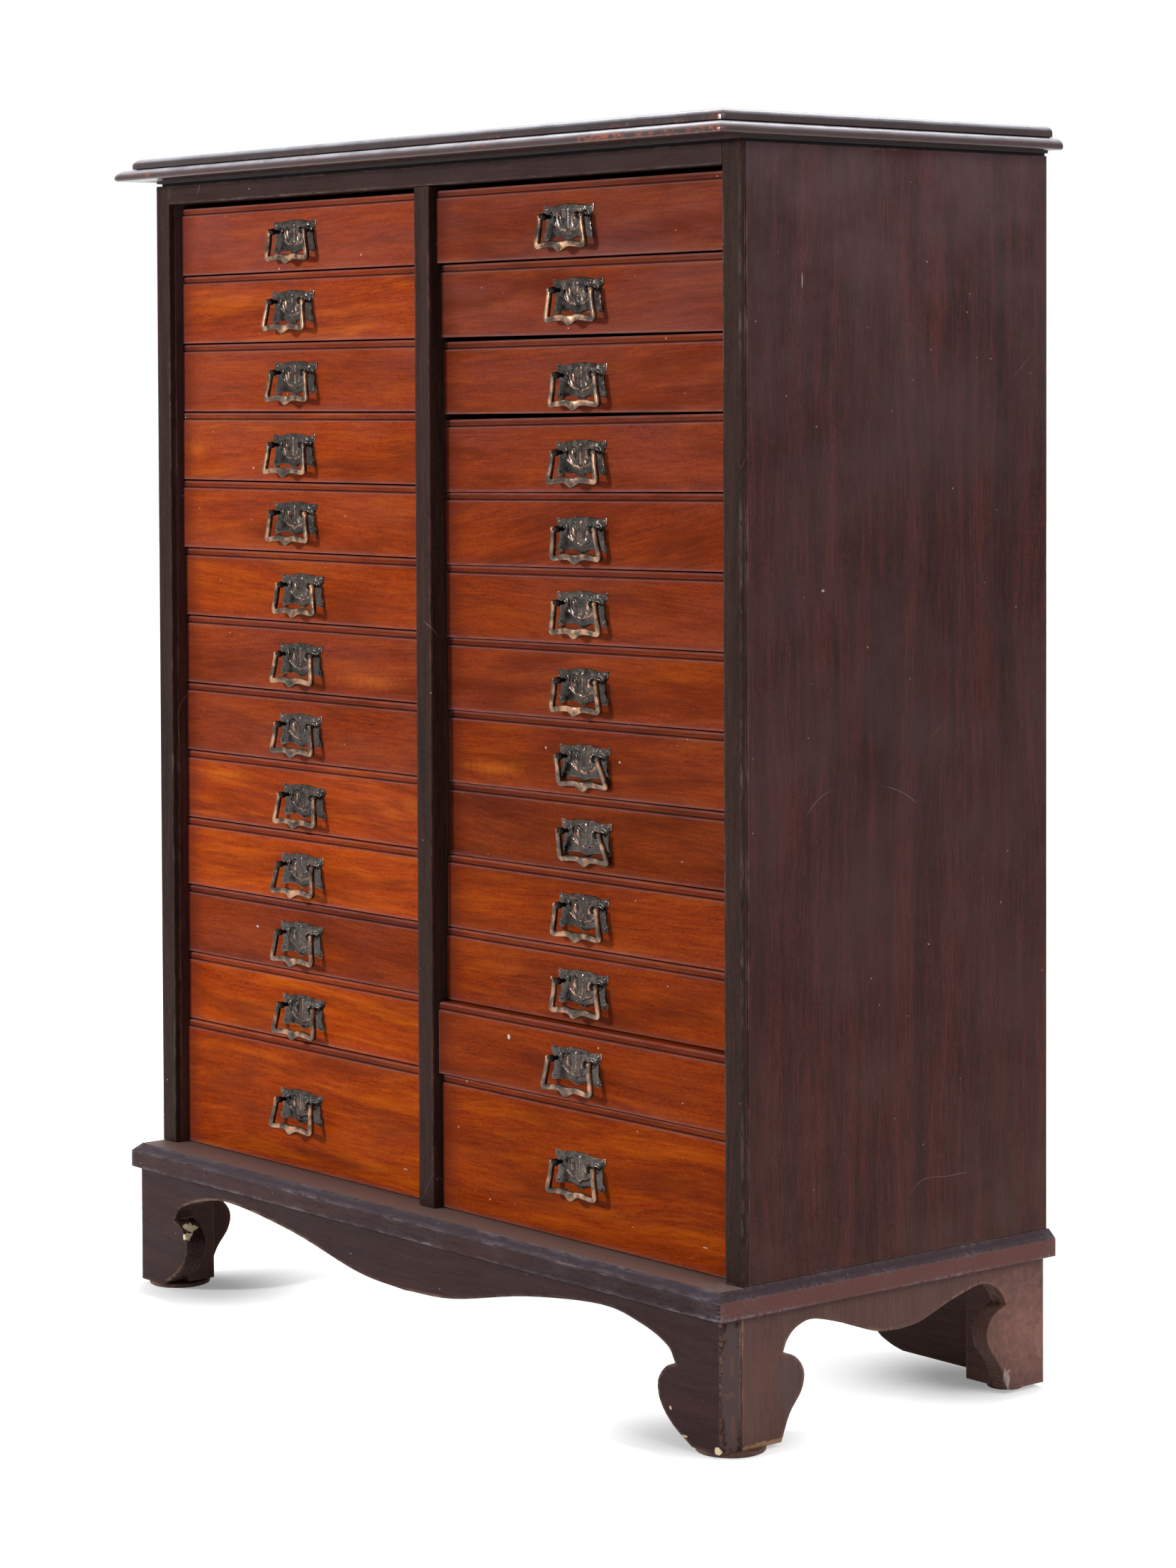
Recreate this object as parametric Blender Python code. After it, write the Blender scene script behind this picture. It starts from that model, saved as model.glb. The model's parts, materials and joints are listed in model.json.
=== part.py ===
"""Collectors cabinet: two banks of thirteen drawers on a shaped bracket plinth.

Metres, +Z up. The front faces -Y. The origin is on the floor, at the middle of the
whole object's box. Left and right are as seen from the front.
"""

import math

import bmesh
import bpy
from mathutils import Euler, Vector

# Carcass
CARCASS_WIDTH = 0.976
CARCASS_DEPTH = 0.408
CARCASS_HEIGHT = 1.070
SIDE_THICKNESS = 0.025
DIVIDER_THICKNESS = 0.025
FACING_DEPTH = 0.007
SEAM_WIDTH = 0.0010
SEAM_DEPTH = 0.0008
RAIL_HEIGHT = 0.0207
RAIL_DEPTH = 0.024
BACK_THICKNESS = 0.010
BACK_INSET = 0.002
BACK_BOARDS = 6
BACK_GROOVE_WIDTH = 0.004
BACK_GROOVE_DEPTH = 0.0018
SEAT_GAP = 0.0003

# Top: a slab over a nosing, on a bed strip flush with the carcass and a neck set back from it
TOP_FRONT_OVERHANG = 0.028
TOP_SIDE_OVERHANG = 0.006
TOP_BACK_OVERHANG = 0.0017
SLAB_HEIGHT = 0.0110
SLAB_ROUND_WIDTH = 0.0100
SLAB_ROUND_HEIGHT = 0.0070
QUIRK_HEIGHT = 0.0010
QUIRK_DEPTH = 0.0035
NOSING_PROJECTION = 0.0145
NOSING_HEIGHT = 0.0120
NOSING_LIP = 0.0030
BED_HEIGHT = 0.0025
NECK_SETBACK = 0.0045
NECK_HEIGHT = 0.0025
ARC_STEPS = 6
CURVE_STEPS = 2

# Base board
BASE_THICKNESS = 0.0265
BASE_FRONT_OVERHANG = 0.037
BASE_SIDE_OVERHANG = 0.0094
BASE_BACK_OVERHANG = 0.0028
CHAMFER_WIDTH = 0.0090
CHAMFER_HEIGHT = 0.0085

# Plinth
PLINTH_HEIGHT = 0.1265
PLINTH_FRONT_OVERHANG = 0.029
PLINTH_SIDE_OVERHANG = 0.0015
PLINTH_BACK_INSET = 0.006
APRON_THICKNESS = 0.026
PLINTH_SIDE_THICKNESS = 0.0215
PLINTH_BACK_THICKNESS = 0.020
FRONT_BRACKET_WIDTH = 0.0910
FRONT_CUSP_WIDTH = 0.0655
SIDE_BRACKET_WIDTH = 0.0805
SIDE_CUSP_WIDTH = 0.0530
REAR_BRACKET_WIDTH = 0.200
BLOCK_SIZE = 0.034
BLOCK_LIFT = 0.002
REAR_LIFT = 0.001
PAD_HEIGHT = 0.0045
PAD_ROUND = 0.0020
FRONT_PAD_RADIUS = 0.034
FRONT_PAD_FROM_FRONT = 0.034
FRONT_PAD_FROM_SIDE = 0.025
REAR_PAD_RADIUS = 0.019
REAR_PAD_FROM_BACK = 0.027
REAR_PAD_FROM_SIDE = 0.027
PAD_SIDES = 12
OVERLAP = 0.0010

# Drawers
DRAWER_ROWS = 13
DEEP_FRONT_HEIGHT = 0.1371
DRAWER_GAP = 0.0015
TOP_GAP = 0.0051
BOTTOM_GAP = 0.0008
FRONT_END_GAP = 0.0010
FRONT_THICKNESS = 0.019
DRAWER_RECESS = 0.018
DRAWER_DROOP = 0.007
STOP_RECESS = 0.024
STOP_CLEARANCE = 0.001
BOX_END_GAP = 0.0015
BOX_SIDE_THICKNESS = 0.009
BOX_BACK_THICKNESS = 0.009
BOX_BOTTOM_THICKNESS = 0.005
BOX_BOTTOM_RISE = 0.004
BOX_TOP_DROP = 0.006
BOX_BACK_DROP = 0.004
TONGUE = 0.006

# Moulding along a drawer front's upper edge
BAND_HEIGHT = 0.0062
BAND_SETBACK = 0.0010
BAND_ROUND = 0.0022
GROOVE_WIDTH = 0.0010
GROOVE_DEPTH = 0.0026
FACE_ROUND = 0.0018

# Runners, one under each side of each drawer
RUNNER_WIDTH = 0.010
RUNNER_HEIGHT = 0.009
RUNNER_TOP = 0.010
RUNNER_CLEARANCE = 0.002

# Handle: plate, two ball posts and a bail
PLATE_WIDTH = 0.077
PLATE_HEIGHT = 0.0345
PLATE_THICKNESS = 0.0012
POST_SPACING = 0.052
POST_RISE = 0.0056
NECK_RADIUS = 0.0024
BALL_RADIUS = 0.0036
BALL_PROUD = 0.0110
POST_SIDES = 6
BORE_RADIUS = 0.0013
PIN_RADIUS = 0.0010
PIN_LENGTH = 0.0045
BAIL_CLEARANCE = 0.0004
BAIL_SIDES = 5
LEG_WIDTH = 0.0042
LEG_DEPTH = 0.0038
BAIL_FLARE = 0.0041
BAIL_LENGTH = 0.0289
BAIL_CORNER = 0.0048
BAR_HEIGHT = 0.0048
BAR_WAIST = 0.0050
BAR_RISE = 0.0018
DROP_HEIGHT = 0.0106
DROP_WIDTH = 0.0130
BAIL_FORWARD = 0.0009
HANDLE_DRIFT = 0.010
HANDLE_DROP = 0.005

# Where each drawer stands, from the top row down: shares of DRAWER_RECESS
LEFT_RECESS_SHARES = (0.89, 0.92, 0.94, 0.89, 0.86, 1.03, 1.08, 1.03, 1.06, 1.0, 1.03, 1.06, 0.94)
RIGHT_RECESS_SHARES = (0.5, 0.78, 0.97, 1.08, 1.06, 1.08, 1.17, 1.22, 1.22, 1.06, 1.0, 0.36, 0.61)

# How far each drawer droops at its left end, on worn runners: shares of DRAWER_DROOP
LEFT_DROOP_SHARES = (0.0,) * DRAWER_ROWS
RIGHT_DROOP_SHARES = (0.0, 0.0, 0.43, 1.0, 0.85, 0.70, 0.54, 0.38, 0.22, 0.07, 0.0, 0.0, 0.0)

# How far each handle sits off its drawer's middle: shares of HANDLE_DRIFT
LEFT_DRIFT_SHARES = (-0.6, -1.1, -0.7, -1.0, -0.7, 0.1, -0.4, -0.4, 0.1, -0.2, -0.5, -0.3, -0.5)
RIGHT_DRIFT_SHARES = (-1.0, -0.2, -0.1, -0.5, -0.4, -0.4, -0.5, -0.4, -0.2, -0.3, -0.3, 0.0, 0.0)

# How far each handle sits below its drawer's middle: shares of HANDLE_DROP
LEFT_DROP_SHARES = (0.1, 0.0, 0.15, 0.6, 0.1, 0.5, 0.4, 0.45, 0.6, 0.55, 0.3, 0.95, 0.15)
RIGHT_DROP_SHARES = (0.5, -0.2, 1.05, 0.7, 0.8, 0.4, 0.7, 0.75, 0.55, 0.25, 0.25, 0.15, -0.5)

# How far each bail hangs forward of plumb, in degrees
LEFT_BAIL_LEANS = (-2, 3, 2, 3, 0, 1, 3, 1, 4, 5, 3, 4, 5)
RIGHT_BAIL_LEANS = (-2, -2, -3, 0, -7, -4, -2, -18, -17, -3, -2, 2, 0)

# Outlines as pairs of shares, chosen by hand.
# Bracket feet: across the bracket from its corner, and up the plinth from its lower edge.
FRONT_BRACKET_SHARES = (
    (0.459, 0.0), (0.768, 0.130), (0.960, 0.280), (0.995, 0.430), (0.878, 0.545), (0.720, 0.597))
SIDE_BRACKET_SHARES = (
    (0.627, 0.0), (0.760, 0.200), (0.950, 0.360), (0.990, 0.500), (0.870, 0.615), (0.658, 0.676))
# Aprons: from the middle out to the cusp, and up the plinth from its lower edge.
FRONT_ARCH_SHARES = (
    (1.0, 0.597), (0.972, 0.715), (0.884, 0.822), (0.743, 0.884), (0.472, 0.787), (0.190, 0.602),
    (0.0, 0.562))
SIDE_ARCH_SHARES = (
    (1.0, 0.676), (0.960, 0.770), (0.880, 0.845), (0.740, 0.878), (0.480, 0.800), (0.200, 0.688),
    (0.0, 0.664))
# Rear brackets, plainly cut: across the bracket, and up the plinth.
REAR_BRACKET_SHARES = ((0.80, 0.0), (0.90, 0.040), (1.0, 0.130), (1.12, 0.420), (1.26, 0.640))
# Handle plate: half its outline, from the top middle round to the bottom middle.
PLATE_SHARES = (
    (0.0, 1.04), (0.74, 0.88), (1.0, 1.0), (1.0, 0.50), (0.89, 0.32), (0.90, -0.35), (1.0, -0.80),
    (0.92, -1.0), (0.34, -0.85), (0.0, -1.08))
# Base board's rounded chamfer: shares of its width and of its height.
CHAMFER_SHARES = ((0.0, 1.0), (0.42, 0.34), (1.0, 0.0))

# Edges that turn by less than this are shaded smooth, in degrees
SMOOTH_ANGLE = 40

# Places worked out from the sizes above
FRONT_REACH = max(TOP_FRONT_OVERHANG + NOSING_PROJECTION, BASE_FRONT_OVERHANG)
BACK_REACH = max(TOP_BACK_OVERHANG, BASE_BACK_OVERHANG)
FRONT_Y = (FRONT_REACH - CARCASS_DEPTH - BACK_REACH) / 2
BACK_Y = FRONT_Y + CARCASS_DEPTH
PLINTH_TOP = PAD_HEIGHT + PLINTH_HEIGHT
BASE_BOTTOM = PLINTH_TOP + SEAT_GAP
BASE_TOP = BASE_BOTTOM + BASE_THICKNESS
CARCASS_BOTTOM = BASE_TOP + SEAT_GAP
CARCASS_TOP = CARCASS_BOTTOM + CARCASS_HEIGHT
TOP_BOTTOM = CARCASS_TOP + SEAT_GAP
HALF_WIDTH = CARCASS_WIDTH / 2
BACK_PANEL_Y = BACK_Y - BACK_INSET - BACK_THICKNESS
OPENING_WIDTH = (CARCASS_WIDTH - 2 * SIDE_THICKNESS - DIVIDER_THICKNESS) / 2
COLUMN_X = (DIVIDER_THICKNESS + OPENING_WIDTH) / 2
SHALLOW_ROWS = DRAWER_ROWS - 1
SHALLOW_FRONT_HEIGHT = (CARCASS_HEIGHT - RAIL_HEIGHT - TOP_GAP - BOTTOM_GAP - DEEP_FRONT_HEIGHT
                        - SHALLOW_ROWS * DRAWER_GAP) / SHALLOW_ROWS
FRONT_WIDTH = OPENING_WIDTH - 2 * FRONT_END_GAP
BOX_WIDTH = OPENING_WIDTH - 2 * BOX_END_GAP
DRAWER_LENGTH = BACK_PANEL_Y - FRONT_Y - STOP_RECESS - STOP_CLEARANCE
RUNNER_START = FRONT_Y + STOP_RECESS + FRONT_THICKNESS + RUNNER_CLEARANCE


def clear_scene():
    """Start from an empty scene."""
    for item in list(bpy.data.objects):
        bpy.data.objects.remove(item, do_unlink=True)


def make_material(name, colour, roughness, metallic=0.0):
    """A Principled material with one colour."""
    material = bpy.data.materials.new(name)
    material.use_nodes = True
    shader = material.node_tree.nodes["Principled BSDF"]
    shader.inputs["Base Color"].default_value = (*colour, 1.0)
    shader.inputs["Roughness"].default_value = roughness
    shader.inputs["Metallic"].default_value = metallic
    material.diffuse_color = (*colour, 1.0)
    return material


def mesh_from(builder):
    """Turn a bmesh into a mesh with its faces pointing out."""
    bmesh.ops.recalc_face_normals(builder, faces=builder.faces)
    mesh = bpy.data.meshes.new("shape")
    builder.to_mesh(mesh)
    builder.free()
    return mesh


def place(name, mesh, material, location=(0, 0, 0)):
    """Put a named object into the scene."""
    mesh.name = name
    mesh.shade_smooth()
    mesh.set_sharp_from_angle(angle=math.radians(SMOOTH_ANGLE))
    item = bpy.data.objects.new(name, mesh)
    item.location = location
    if material is not None and not mesh.materials:
        mesh.materials.append(material)
    bpy.context.scene.collection.objects.link(item)
    return item


def loft(rings):
    """A closed solid through rings of equal point counts, capped at both ends."""
    builder = bmesh.new()
    loops = [[builder.verts.new(point) for point in ring] for ring in rings]
    count = len(loops[0])
    for lower, upper in zip(loops, loops[1:]):
        for index in range(count):
            after = (index + 1) % count
            builder.faces.new((lower[index], lower[after], upper[after], upper[index]))
    builder.faces.new(loops[0])
    builder.faces.new(loops[-1])
    return mesh_from(builder)


def prism(outline, axis, start, end):
    """Extrude an outline along X, Y or Z; its points are the other two coordinates in order."""
    def at(point, along):
        pair = iter(point)
        return tuple(along if letter == axis else next(pair) for letter in "XYZ")
    return loft([[at(point, start) for point in outline], [at(point, end) for point in outline]])


def block(low, high):
    """A rectangular solid between two corners."""
    outline = ((low[0], low[1]), (high[0], low[1]), (high[0], high[1]), (low[0], high[1]))
    return prism(outline, "Z", low[2], high[2])


def combined(meshes, operation="UNION"):
    """Join solids into one, or cut all the others from the first."""
    items = [place("piece", mesh, None) for mesh in meshes]
    first = items[0]
    for item in items[1:]:
        modifier = first.modifiers.new("combine", "BOOLEAN")
        modifier.operation = operation
        modifier.solver = "EXACT"
        modifier.object = item
    graph = bpy.context.evaluated_depsgraph_get()
    result = bpy.data.meshes.new_from_object(first.evaluated_get(graph))
    for item in items:
        bpy.data.objects.remove(item, do_unlink=True)
    for mesh in meshes:
        bpy.data.meshes.remove(mesh)
    return result


def smooth_curve(points, steps):
    """Points of a smooth curve through the given ones, its ends included."""
    vectors = [Vector(point) for point in points]
    padded = [vectors[0] * 2 - vectors[1], *vectors, vectors[-1] * 2 - vectors[-2]]
    curve = []
    for index in range(1, len(vectors)):
        before, start, end, after = padded[index - 1:index + 3]
        for step in range(steps):
            t = step / steps
            curve.append(0.5 * (2 * start + (end - before) * t
                                + (2 * before - 5 * start + 4 * end - after) * t ** 2
                                + (3 * start - before - 3 * end + after) * t ** 3))
    curve.append(vectors[-1])
    return [tuple(point) for point in curve]


def quarter_arc(centre, radii, start_degrees, steps):
    """Points on a quarter of an ellipse, turning with the angle."""
    points = []
    for step in range(steps + 1):
        angle = math.radians(start_degrees + 90 * step / steps)
        points.append((centre[0] + radii[0] * math.cos(angle), centre[1] + radii[1] * math.sin(angle)))
    return points


def moulded_board(profile, front, side, back):
    """A board whose front and side edges follow a profile, mitred at the front corners.

    The profile's points are how far out of the carcass line they stand beyond the overhangs
    front and side, their height, and how far out they stand at the front where that differs. The
    back edge is cut straight.
    """
    rings = []
    for out, height, *out_at_front in profile:
        x = HALF_WIDTH + side + out
        y = FRONT_Y - front - (out_at_front[0] if out_at_front else out)
        rings.append(((-x, y, height), (x, y, height), (x, BACK_Y + back, height),
                      (-x, BACK_Y + back, height)))
    return loft(rings)


def top_board():
    """The top: neck, bed strip, nosing, quirk and round-edged slab, from below."""
    neck_top = TOP_BOTTOM + NECK_HEIGHT
    nosing_bottom = neck_top + BED_HEIGHT
    nosing_top = nosing_bottom + NOSING_HEIGHT
    slab_bottom = nosing_top + QUIRK_HEIGHT
    slab_top = slab_bottom + SLAB_HEIGHT
    neck_side = -TOP_SIDE_OVERHANG - NECK_SETBACK
    neck_front = -TOP_FRONT_OVERHANG - NECK_SETBACK
    lip = (NOSING_PROJECTION - NOSING_LIP, nosing_bottom + NOSING_LIP)
    profile = [(neck_side, TOP_BOTTOM, neck_front), (neck_side, neck_top, neck_front),
               (-TOP_SIDE_OVERHANG, neck_top, -TOP_FRONT_OVERHANG),
               (-TOP_SIDE_OVERHANG, nosing_bottom, -TOP_FRONT_OVERHANG)]
    profile += quarter_arc(lip, (NOSING_LIP, NOSING_LIP), -90, ARC_STEPS // 2)
    profile += quarter_arc((0, lip[1]), (NOSING_PROJECTION, NOSING_HEIGHT - NOSING_LIP), 0, ARC_STEPS)[1:]
    profile += [(-QUIRK_DEPTH, nosing_top), (-QUIRK_DEPTH, slab_bottom), (0, slab_bottom)]
    profile += quarter_arc((-SLAB_ROUND_WIDTH, slab_top - SLAB_ROUND_HEIGHT),
                           (SLAB_ROUND_WIDTH, SLAB_ROUND_HEIGHT), 0, ARC_STEPS)
    return moulded_board(profile, TOP_FRONT_OVERHANG, TOP_SIDE_OVERHANG, TOP_BACK_OVERHANG)


def base_board():
    """The base board, with a chamfer round its front and side edges."""
    profile = [(0, BASE_BOTTOM)]
    profile += [(-CHAMFER_WIDTH * across, BASE_TOP - CHAMFER_HEIGHT * down)
                for across, down in CHAMFER_SHARES]
    return moulded_board(profile, BASE_FRONT_OVERHANG, BASE_SIDE_OVERHANG, BASE_BACK_OVERHANG)


def row_bottoms():
    """Height of each drawer front's lower edge, from the top row down."""
    bottoms = [CARCASS_BOTTOM + BOTTOM_GAP]
    bottoms.append(bottoms[0] + DEEP_FRONT_HEIGHT + DRAWER_GAP)
    while len(bottoms) < DRAWER_ROWS:
        bottoms.append(bottoms[-1] + SHALLOW_FRONT_HEIGHT + DRAWER_GAP)
    return bottoms[::-1]


def runners(wall_x, side, droop_shares=LEFT_DROOP_SHARES):
    """One runner for every row, let into the wall that stands at wall_x; side is its way out."""
    bars = []
    for bottom, share in zip(row_bottoms(), droop_shares):
        top = bottom + RUNNER_TOP - DRAWER_DROOP * share
        inner, outer = sorted((wall_x - side * OVERLAP, wall_x + side * RUNNER_WIDTH))
        bars.append(block((inner, RUNNER_START, top - RUNNER_HEIGHT),
                          (outer, BACK_PANEL_Y - SEAT_GAP, top)))
    return bars


def carcass_side(side):
    """A side with a facing strip along its front edge and its runners; side is -1 or 1."""
    outer = side * HALF_WIDTH
    inner = side * (HALF_WIDTH - SIDE_THICKNESS)
    seam = FRONT_Y + FACING_DEPTH
    outline = ((outer, FRONT_Y), (inner, FRONT_Y), (inner, BACK_Y), (outer, BACK_Y),
               (outer, seam + SEAM_WIDTH / 2), (outer - side * SEAM_DEPTH, seam),
               (outer, seam - SEAM_WIDTH / 2))
    board = prism(outline, "Z", CARCASS_BOTTOM, CARCASS_TOP)
    return combined([board, *runners(inner, -side)])


def centre_divider():
    """The divider, notched round the top rail, with runners on both faces."""
    half = DIVIDER_THICKNESS / 2
    notch_y = FRONT_Y + RAIL_DEPTH + SEAT_GAP
    notch_z = CARCASS_TOP - RAIL_HEIGHT - SEAT_GAP
    rear = BACK_PANEL_Y - SEAT_GAP
    outline = ((FRONT_Y, CARCASS_BOTTOM), (rear, CARCASS_BOTTOM), (rear, CARCASS_TOP),
               (notch_y, CARCASS_TOP), (notch_y, notch_z), (FRONT_Y, notch_z))
    board = prism(outline, "X", -half, half)
    return combined([board, *runners(half, 1, RIGHT_DROOP_SHARES), *runners(-half, -1)])


def top_rail():
    """The front rail under the top, between the sides."""
    reach = HALF_WIDTH - SIDE_THICKNESS - SEAT_GAP
    return block((-reach, FRONT_Y, CARCASS_TOP - RAIL_HEIGHT), (reach, FRONT_Y + RAIL_DEPTH, CARCASS_TOP))


def back_panel():
    """Upright boards between the sides, with a V groove at each joint on the rear face."""
    reach = HALF_WIDTH - SIDE_THICKNESS - SEAT_GAP
    front = BACK_PANEL_Y
    rear = BACK_PANEL_Y + BACK_THICKNESS
    outline = [(-reach, front), (reach, front), (reach, rear)]
    pitch = 2 * reach / BACK_BOARDS
    for number in range(1, BACK_BOARDS):
        joint = reach - pitch * number
        outline += [(joint + BACK_GROOVE_WIDTH / 2, rear), (joint, rear - BACK_GROOVE_DEPTH),
                    (joint - BACK_GROOVE_WIDTH / 2, rear)]
    outline.append((-reach, rear))
    return prism(outline, "Z", CARCASS_BOTTOM, CARCASS_TOP)


def apron_outline(half, bracket, cusp, bracket_shares, arch_shares):
    """A board's elevation about its middle: two bracket feet and a serpentine apron."""
    foot = [(half - bracket * across, PAD_HEIGHT + PLINTH_HEIGHT * up) for across, up in bracket_shares]
    arch = [((half - cusp) * along, PAD_HEIGHT + PLINTH_HEIGHT * up) for along, up in arch_shares]
    right = smooth_curve(foot, CURVE_STEPS)[:-1] + smooth_curve(arch, CURVE_STEPS)
    left = [(-x, z) for x, z in right[-2::-1]]
    return [(half, PLINTH_TOP), (half, PAD_HEIGHT), *right, *left, (-half, PAD_HEIGHT), (-half, PLINTH_TOP)]


def rear_outline(half):
    """The rear board's elevation: two plainly cut wide brackets."""
    low = PAD_HEIGHT + REAR_LIFT
    high = PLINTH_TOP - REAR_LIFT
    right = [(half - REAR_BRACKET_WIDTH * across, low + (high - low) * up)
             for across, up in REAR_BRACKET_SHARES]
    left = [(-x, z) for x, z in right[::-1]]
    return [(half, high), (half, low), *right, *left, (-half, low), (-half, high)]


def foot_pad(x, y, pad_radius, seat):
    """A round pad under one foot, its lower edge rounded; seat is how high it is let in."""
    levels = ((0, pad_radius - PAD_ROUND), (PAD_ROUND, pad_radius), (seat, pad_radius))
    rings = []
    for height, radius in levels:
        turns = [2 * math.pi * index / PAD_SIDES for index in range(PAD_SIDES)]
        rings.append([(x + radius * math.cos(turn), y + radius * math.sin(turn), height) for turn in turns])
    return loft(rings)


def plinth():
    """Shaped boards round a stiffening block in each corner, standing on pads."""
    outer = HALF_WIDTH + PLINTH_SIDE_OVERHANG
    inner = outer - PLINTH_SIDE_THICKNESS
    front = FRONT_Y - PLINTH_FRONT_OVERHANG
    apron_back = front + APRON_THICKNESS
    rear = BACK_Y - PLINTH_BACK_INSET
    rear_front = rear - PLINTH_BACK_THICKNESS
    side_start = apron_back - OVERLAP
    side_half = (rear - side_start) / 2
    side_middle = (rear + side_start) / 2

    apron = prism(apron_outline(outer, FRONT_BRACKET_WIDTH, FRONT_CUSP_WIDTH, FRONT_BRACKET_SHARES,
                                FRONT_ARCH_SHARES), "Y", front, apron_back)
    pieces = [apron]
    elevation = apron_outline(side_half, SIDE_BRACKET_WIDTH, SIDE_CUSP_WIDTH, SIDE_BRACKET_SHARES,
                              SIDE_ARCH_SHARES)
    outline = [(side_middle + along, up) for along, up in elevation]
    for side in (-1, 1):
        start, end = sorted((side * inner, side * outer))
        pieces.append(prism(outline, "X", start, end))
    pieces.append(prism(rear_outline(inner + OVERLAP), "Y", rear_front, rear - OVERLAP))
    pads = []
    for side in (-1, 1):
        for near, far in ((apron_back - OVERLAP, apron_back + BLOCK_SIZE),
                          (rear_front - BLOCK_SIZE, rear_front + OVERLAP)):
            start, end = sorted((side * (inner - BLOCK_SIZE), side * (inner + OVERLAP)))
            pieces.append(block((start, near, PAD_HEIGHT + BLOCK_LIFT),
                                (end, far, PLINTH_TOP - BLOCK_LIFT)))
        pads.append(foot_pad(side * (outer - FRONT_PAD_FROM_SIDE), front + FRONT_PAD_FROM_FRONT,
                             FRONT_PAD_RADIUS, PAD_HEIGHT + OVERLAP / 2))
        pads.append(foot_pad(side * (outer - REAR_PAD_FROM_SIDE), rear - REAR_PAD_FROM_BACK,
                             REAR_PAD_RADIUS, PAD_HEIGHT + BLOCK_LIFT + OVERLAP))
    joined = combined([combined(pieces), *pads])
    grooves = []
    for side in (-1, 1):
        outline = ((side * (outer - SEAM_DEPTH), apron_back),
                   (side * (outer + SEAM_DEPTH), apron_back - SEAM_WIDTH),
                   (side * (outer + SEAM_DEPTH), apron_back + SEAM_WIDTH))
        grooves.append(prism(outline, "Z", 0, PLINTH_TOP + OVERLAP))
    return combined([joined, *grooves], "DIFFERENCE")


def drawer_front(height):
    """The front board, moulded along its upper edge: face, groove and rounded band."""
    face_top = height - BAND_HEIGHT - GROOVE_WIDTH
    outline = [(FRONT_THICKNESS, 0), (0, 0), (0, face_top - FACE_ROUND), (GROOVE_DEPTH, face_top),
               (BAND_SETBACK, face_top + GROOVE_WIDTH), (BAND_SETBACK, height - BAND_ROUND),
               (BAND_SETBACK + BAND_ROUND, height), (FRONT_THICKNESS, height)]
    return prism(outline, "X", -FRONT_WIDTH / 2, FRONT_WIDTH / 2)


def drawer_box(height):
    """Sides with the bottom let in between them, and the back standing on the bottom."""
    half = BOX_WIDTH / 2
    inner = half - BOX_SIDE_THICKNESS
    low = RUNNER_TOP + SEAT_GAP
    board_low = low + BOX_BOTTOM_RISE
    board_top = board_low + BOX_BOTTOM_THICKNESS
    top = height - BOX_TOP_DROP
    outline = ((-half, low), (-inner, low), (-inner, board_low), (inner, board_low), (inner, low),
               (half, low), (half, top), (inner, top), (inner, board_top), (-inner, board_top),
               (-inner, top), (-half, top))
    tray = prism(outline, "Y", FRONT_THICKNESS - TONGUE, DRAWER_LENGTH)
    back = block((-inner - OVERLAP, DRAWER_LENGTH - BOX_BACK_THICKNESS, board_top - OVERLAP),
                 (inner + OVERLAP, DRAWER_LENGTH - SEAT_GAP, top - BOX_BACK_DROP))
    return tray, back


def handle_plate(drift, middle):
    """The stamped plate, let a little way into the front."""
    right = [(PLATE_WIDTH / 2 * across, PLATE_HEIGHT / 2 * up) for across, up in PLATE_SHARES]
    left = [(-x, z) for x, z in right[-2:0:-1]]
    outline = [(drift + x, middle + z) for x, z in right + left]
    return prism(outline, "Y", -PLATE_THICKNESS, OVERLAP)


def handle_post(x, z):
    """A neck and a ball standing out of the plate, bored across for the bail's pin."""
    meet = math.sqrt(BALL_RADIUS ** 2 - NECK_RADIUS ** 2)
    stations = [(-PLATE_THICKNESS + OVERLAP / 2, NECK_RADIUS), (-BALL_PROUD + meet, NECK_RADIUS)]
    for degrees in (0, 50):
        angle = math.radians(degrees)
        stations.append((-BALL_PROUD - BALL_RADIUS * math.sin(angle), BALL_RADIUS * math.cos(angle)))
    rings = []
    for y, radius in stations:
        turns = [2 * math.pi * (index + 0.5) / POST_SIDES for index in range(POST_SIDES)]
        rings.append([(x + radius * math.cos(turn), y, z + radius * math.sin(turn)) for turn in turns])
    corners = [math.pi * (index + 0.5) / 2 for index in range(4)]
    bore = [(BORE_RADIUS * math.sqrt(2) * math.cos(corner) - BALL_PROUD,
             BORE_RADIUS * math.sqrt(2) * math.sin(corner) + z) for corner in corners]
    hole = prism(bore, "X", x - 2 * BALL_RADIUS, x + 2 * BALL_RADIUS)
    return combined([loft(rings), hole], "DIFFERENCE")


def drawer(height, drift, middle):
    """One drawer with its handle's plate and posts; its origin is low on the front's face."""
    posts = [handle_post(drift + side * POST_SPACING / 2, middle + POST_RISE) for side in (-1, 1)]
    return combined([drawer_front(height), *drawer_box(height), handle_plate(drift, middle), *posts])


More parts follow.
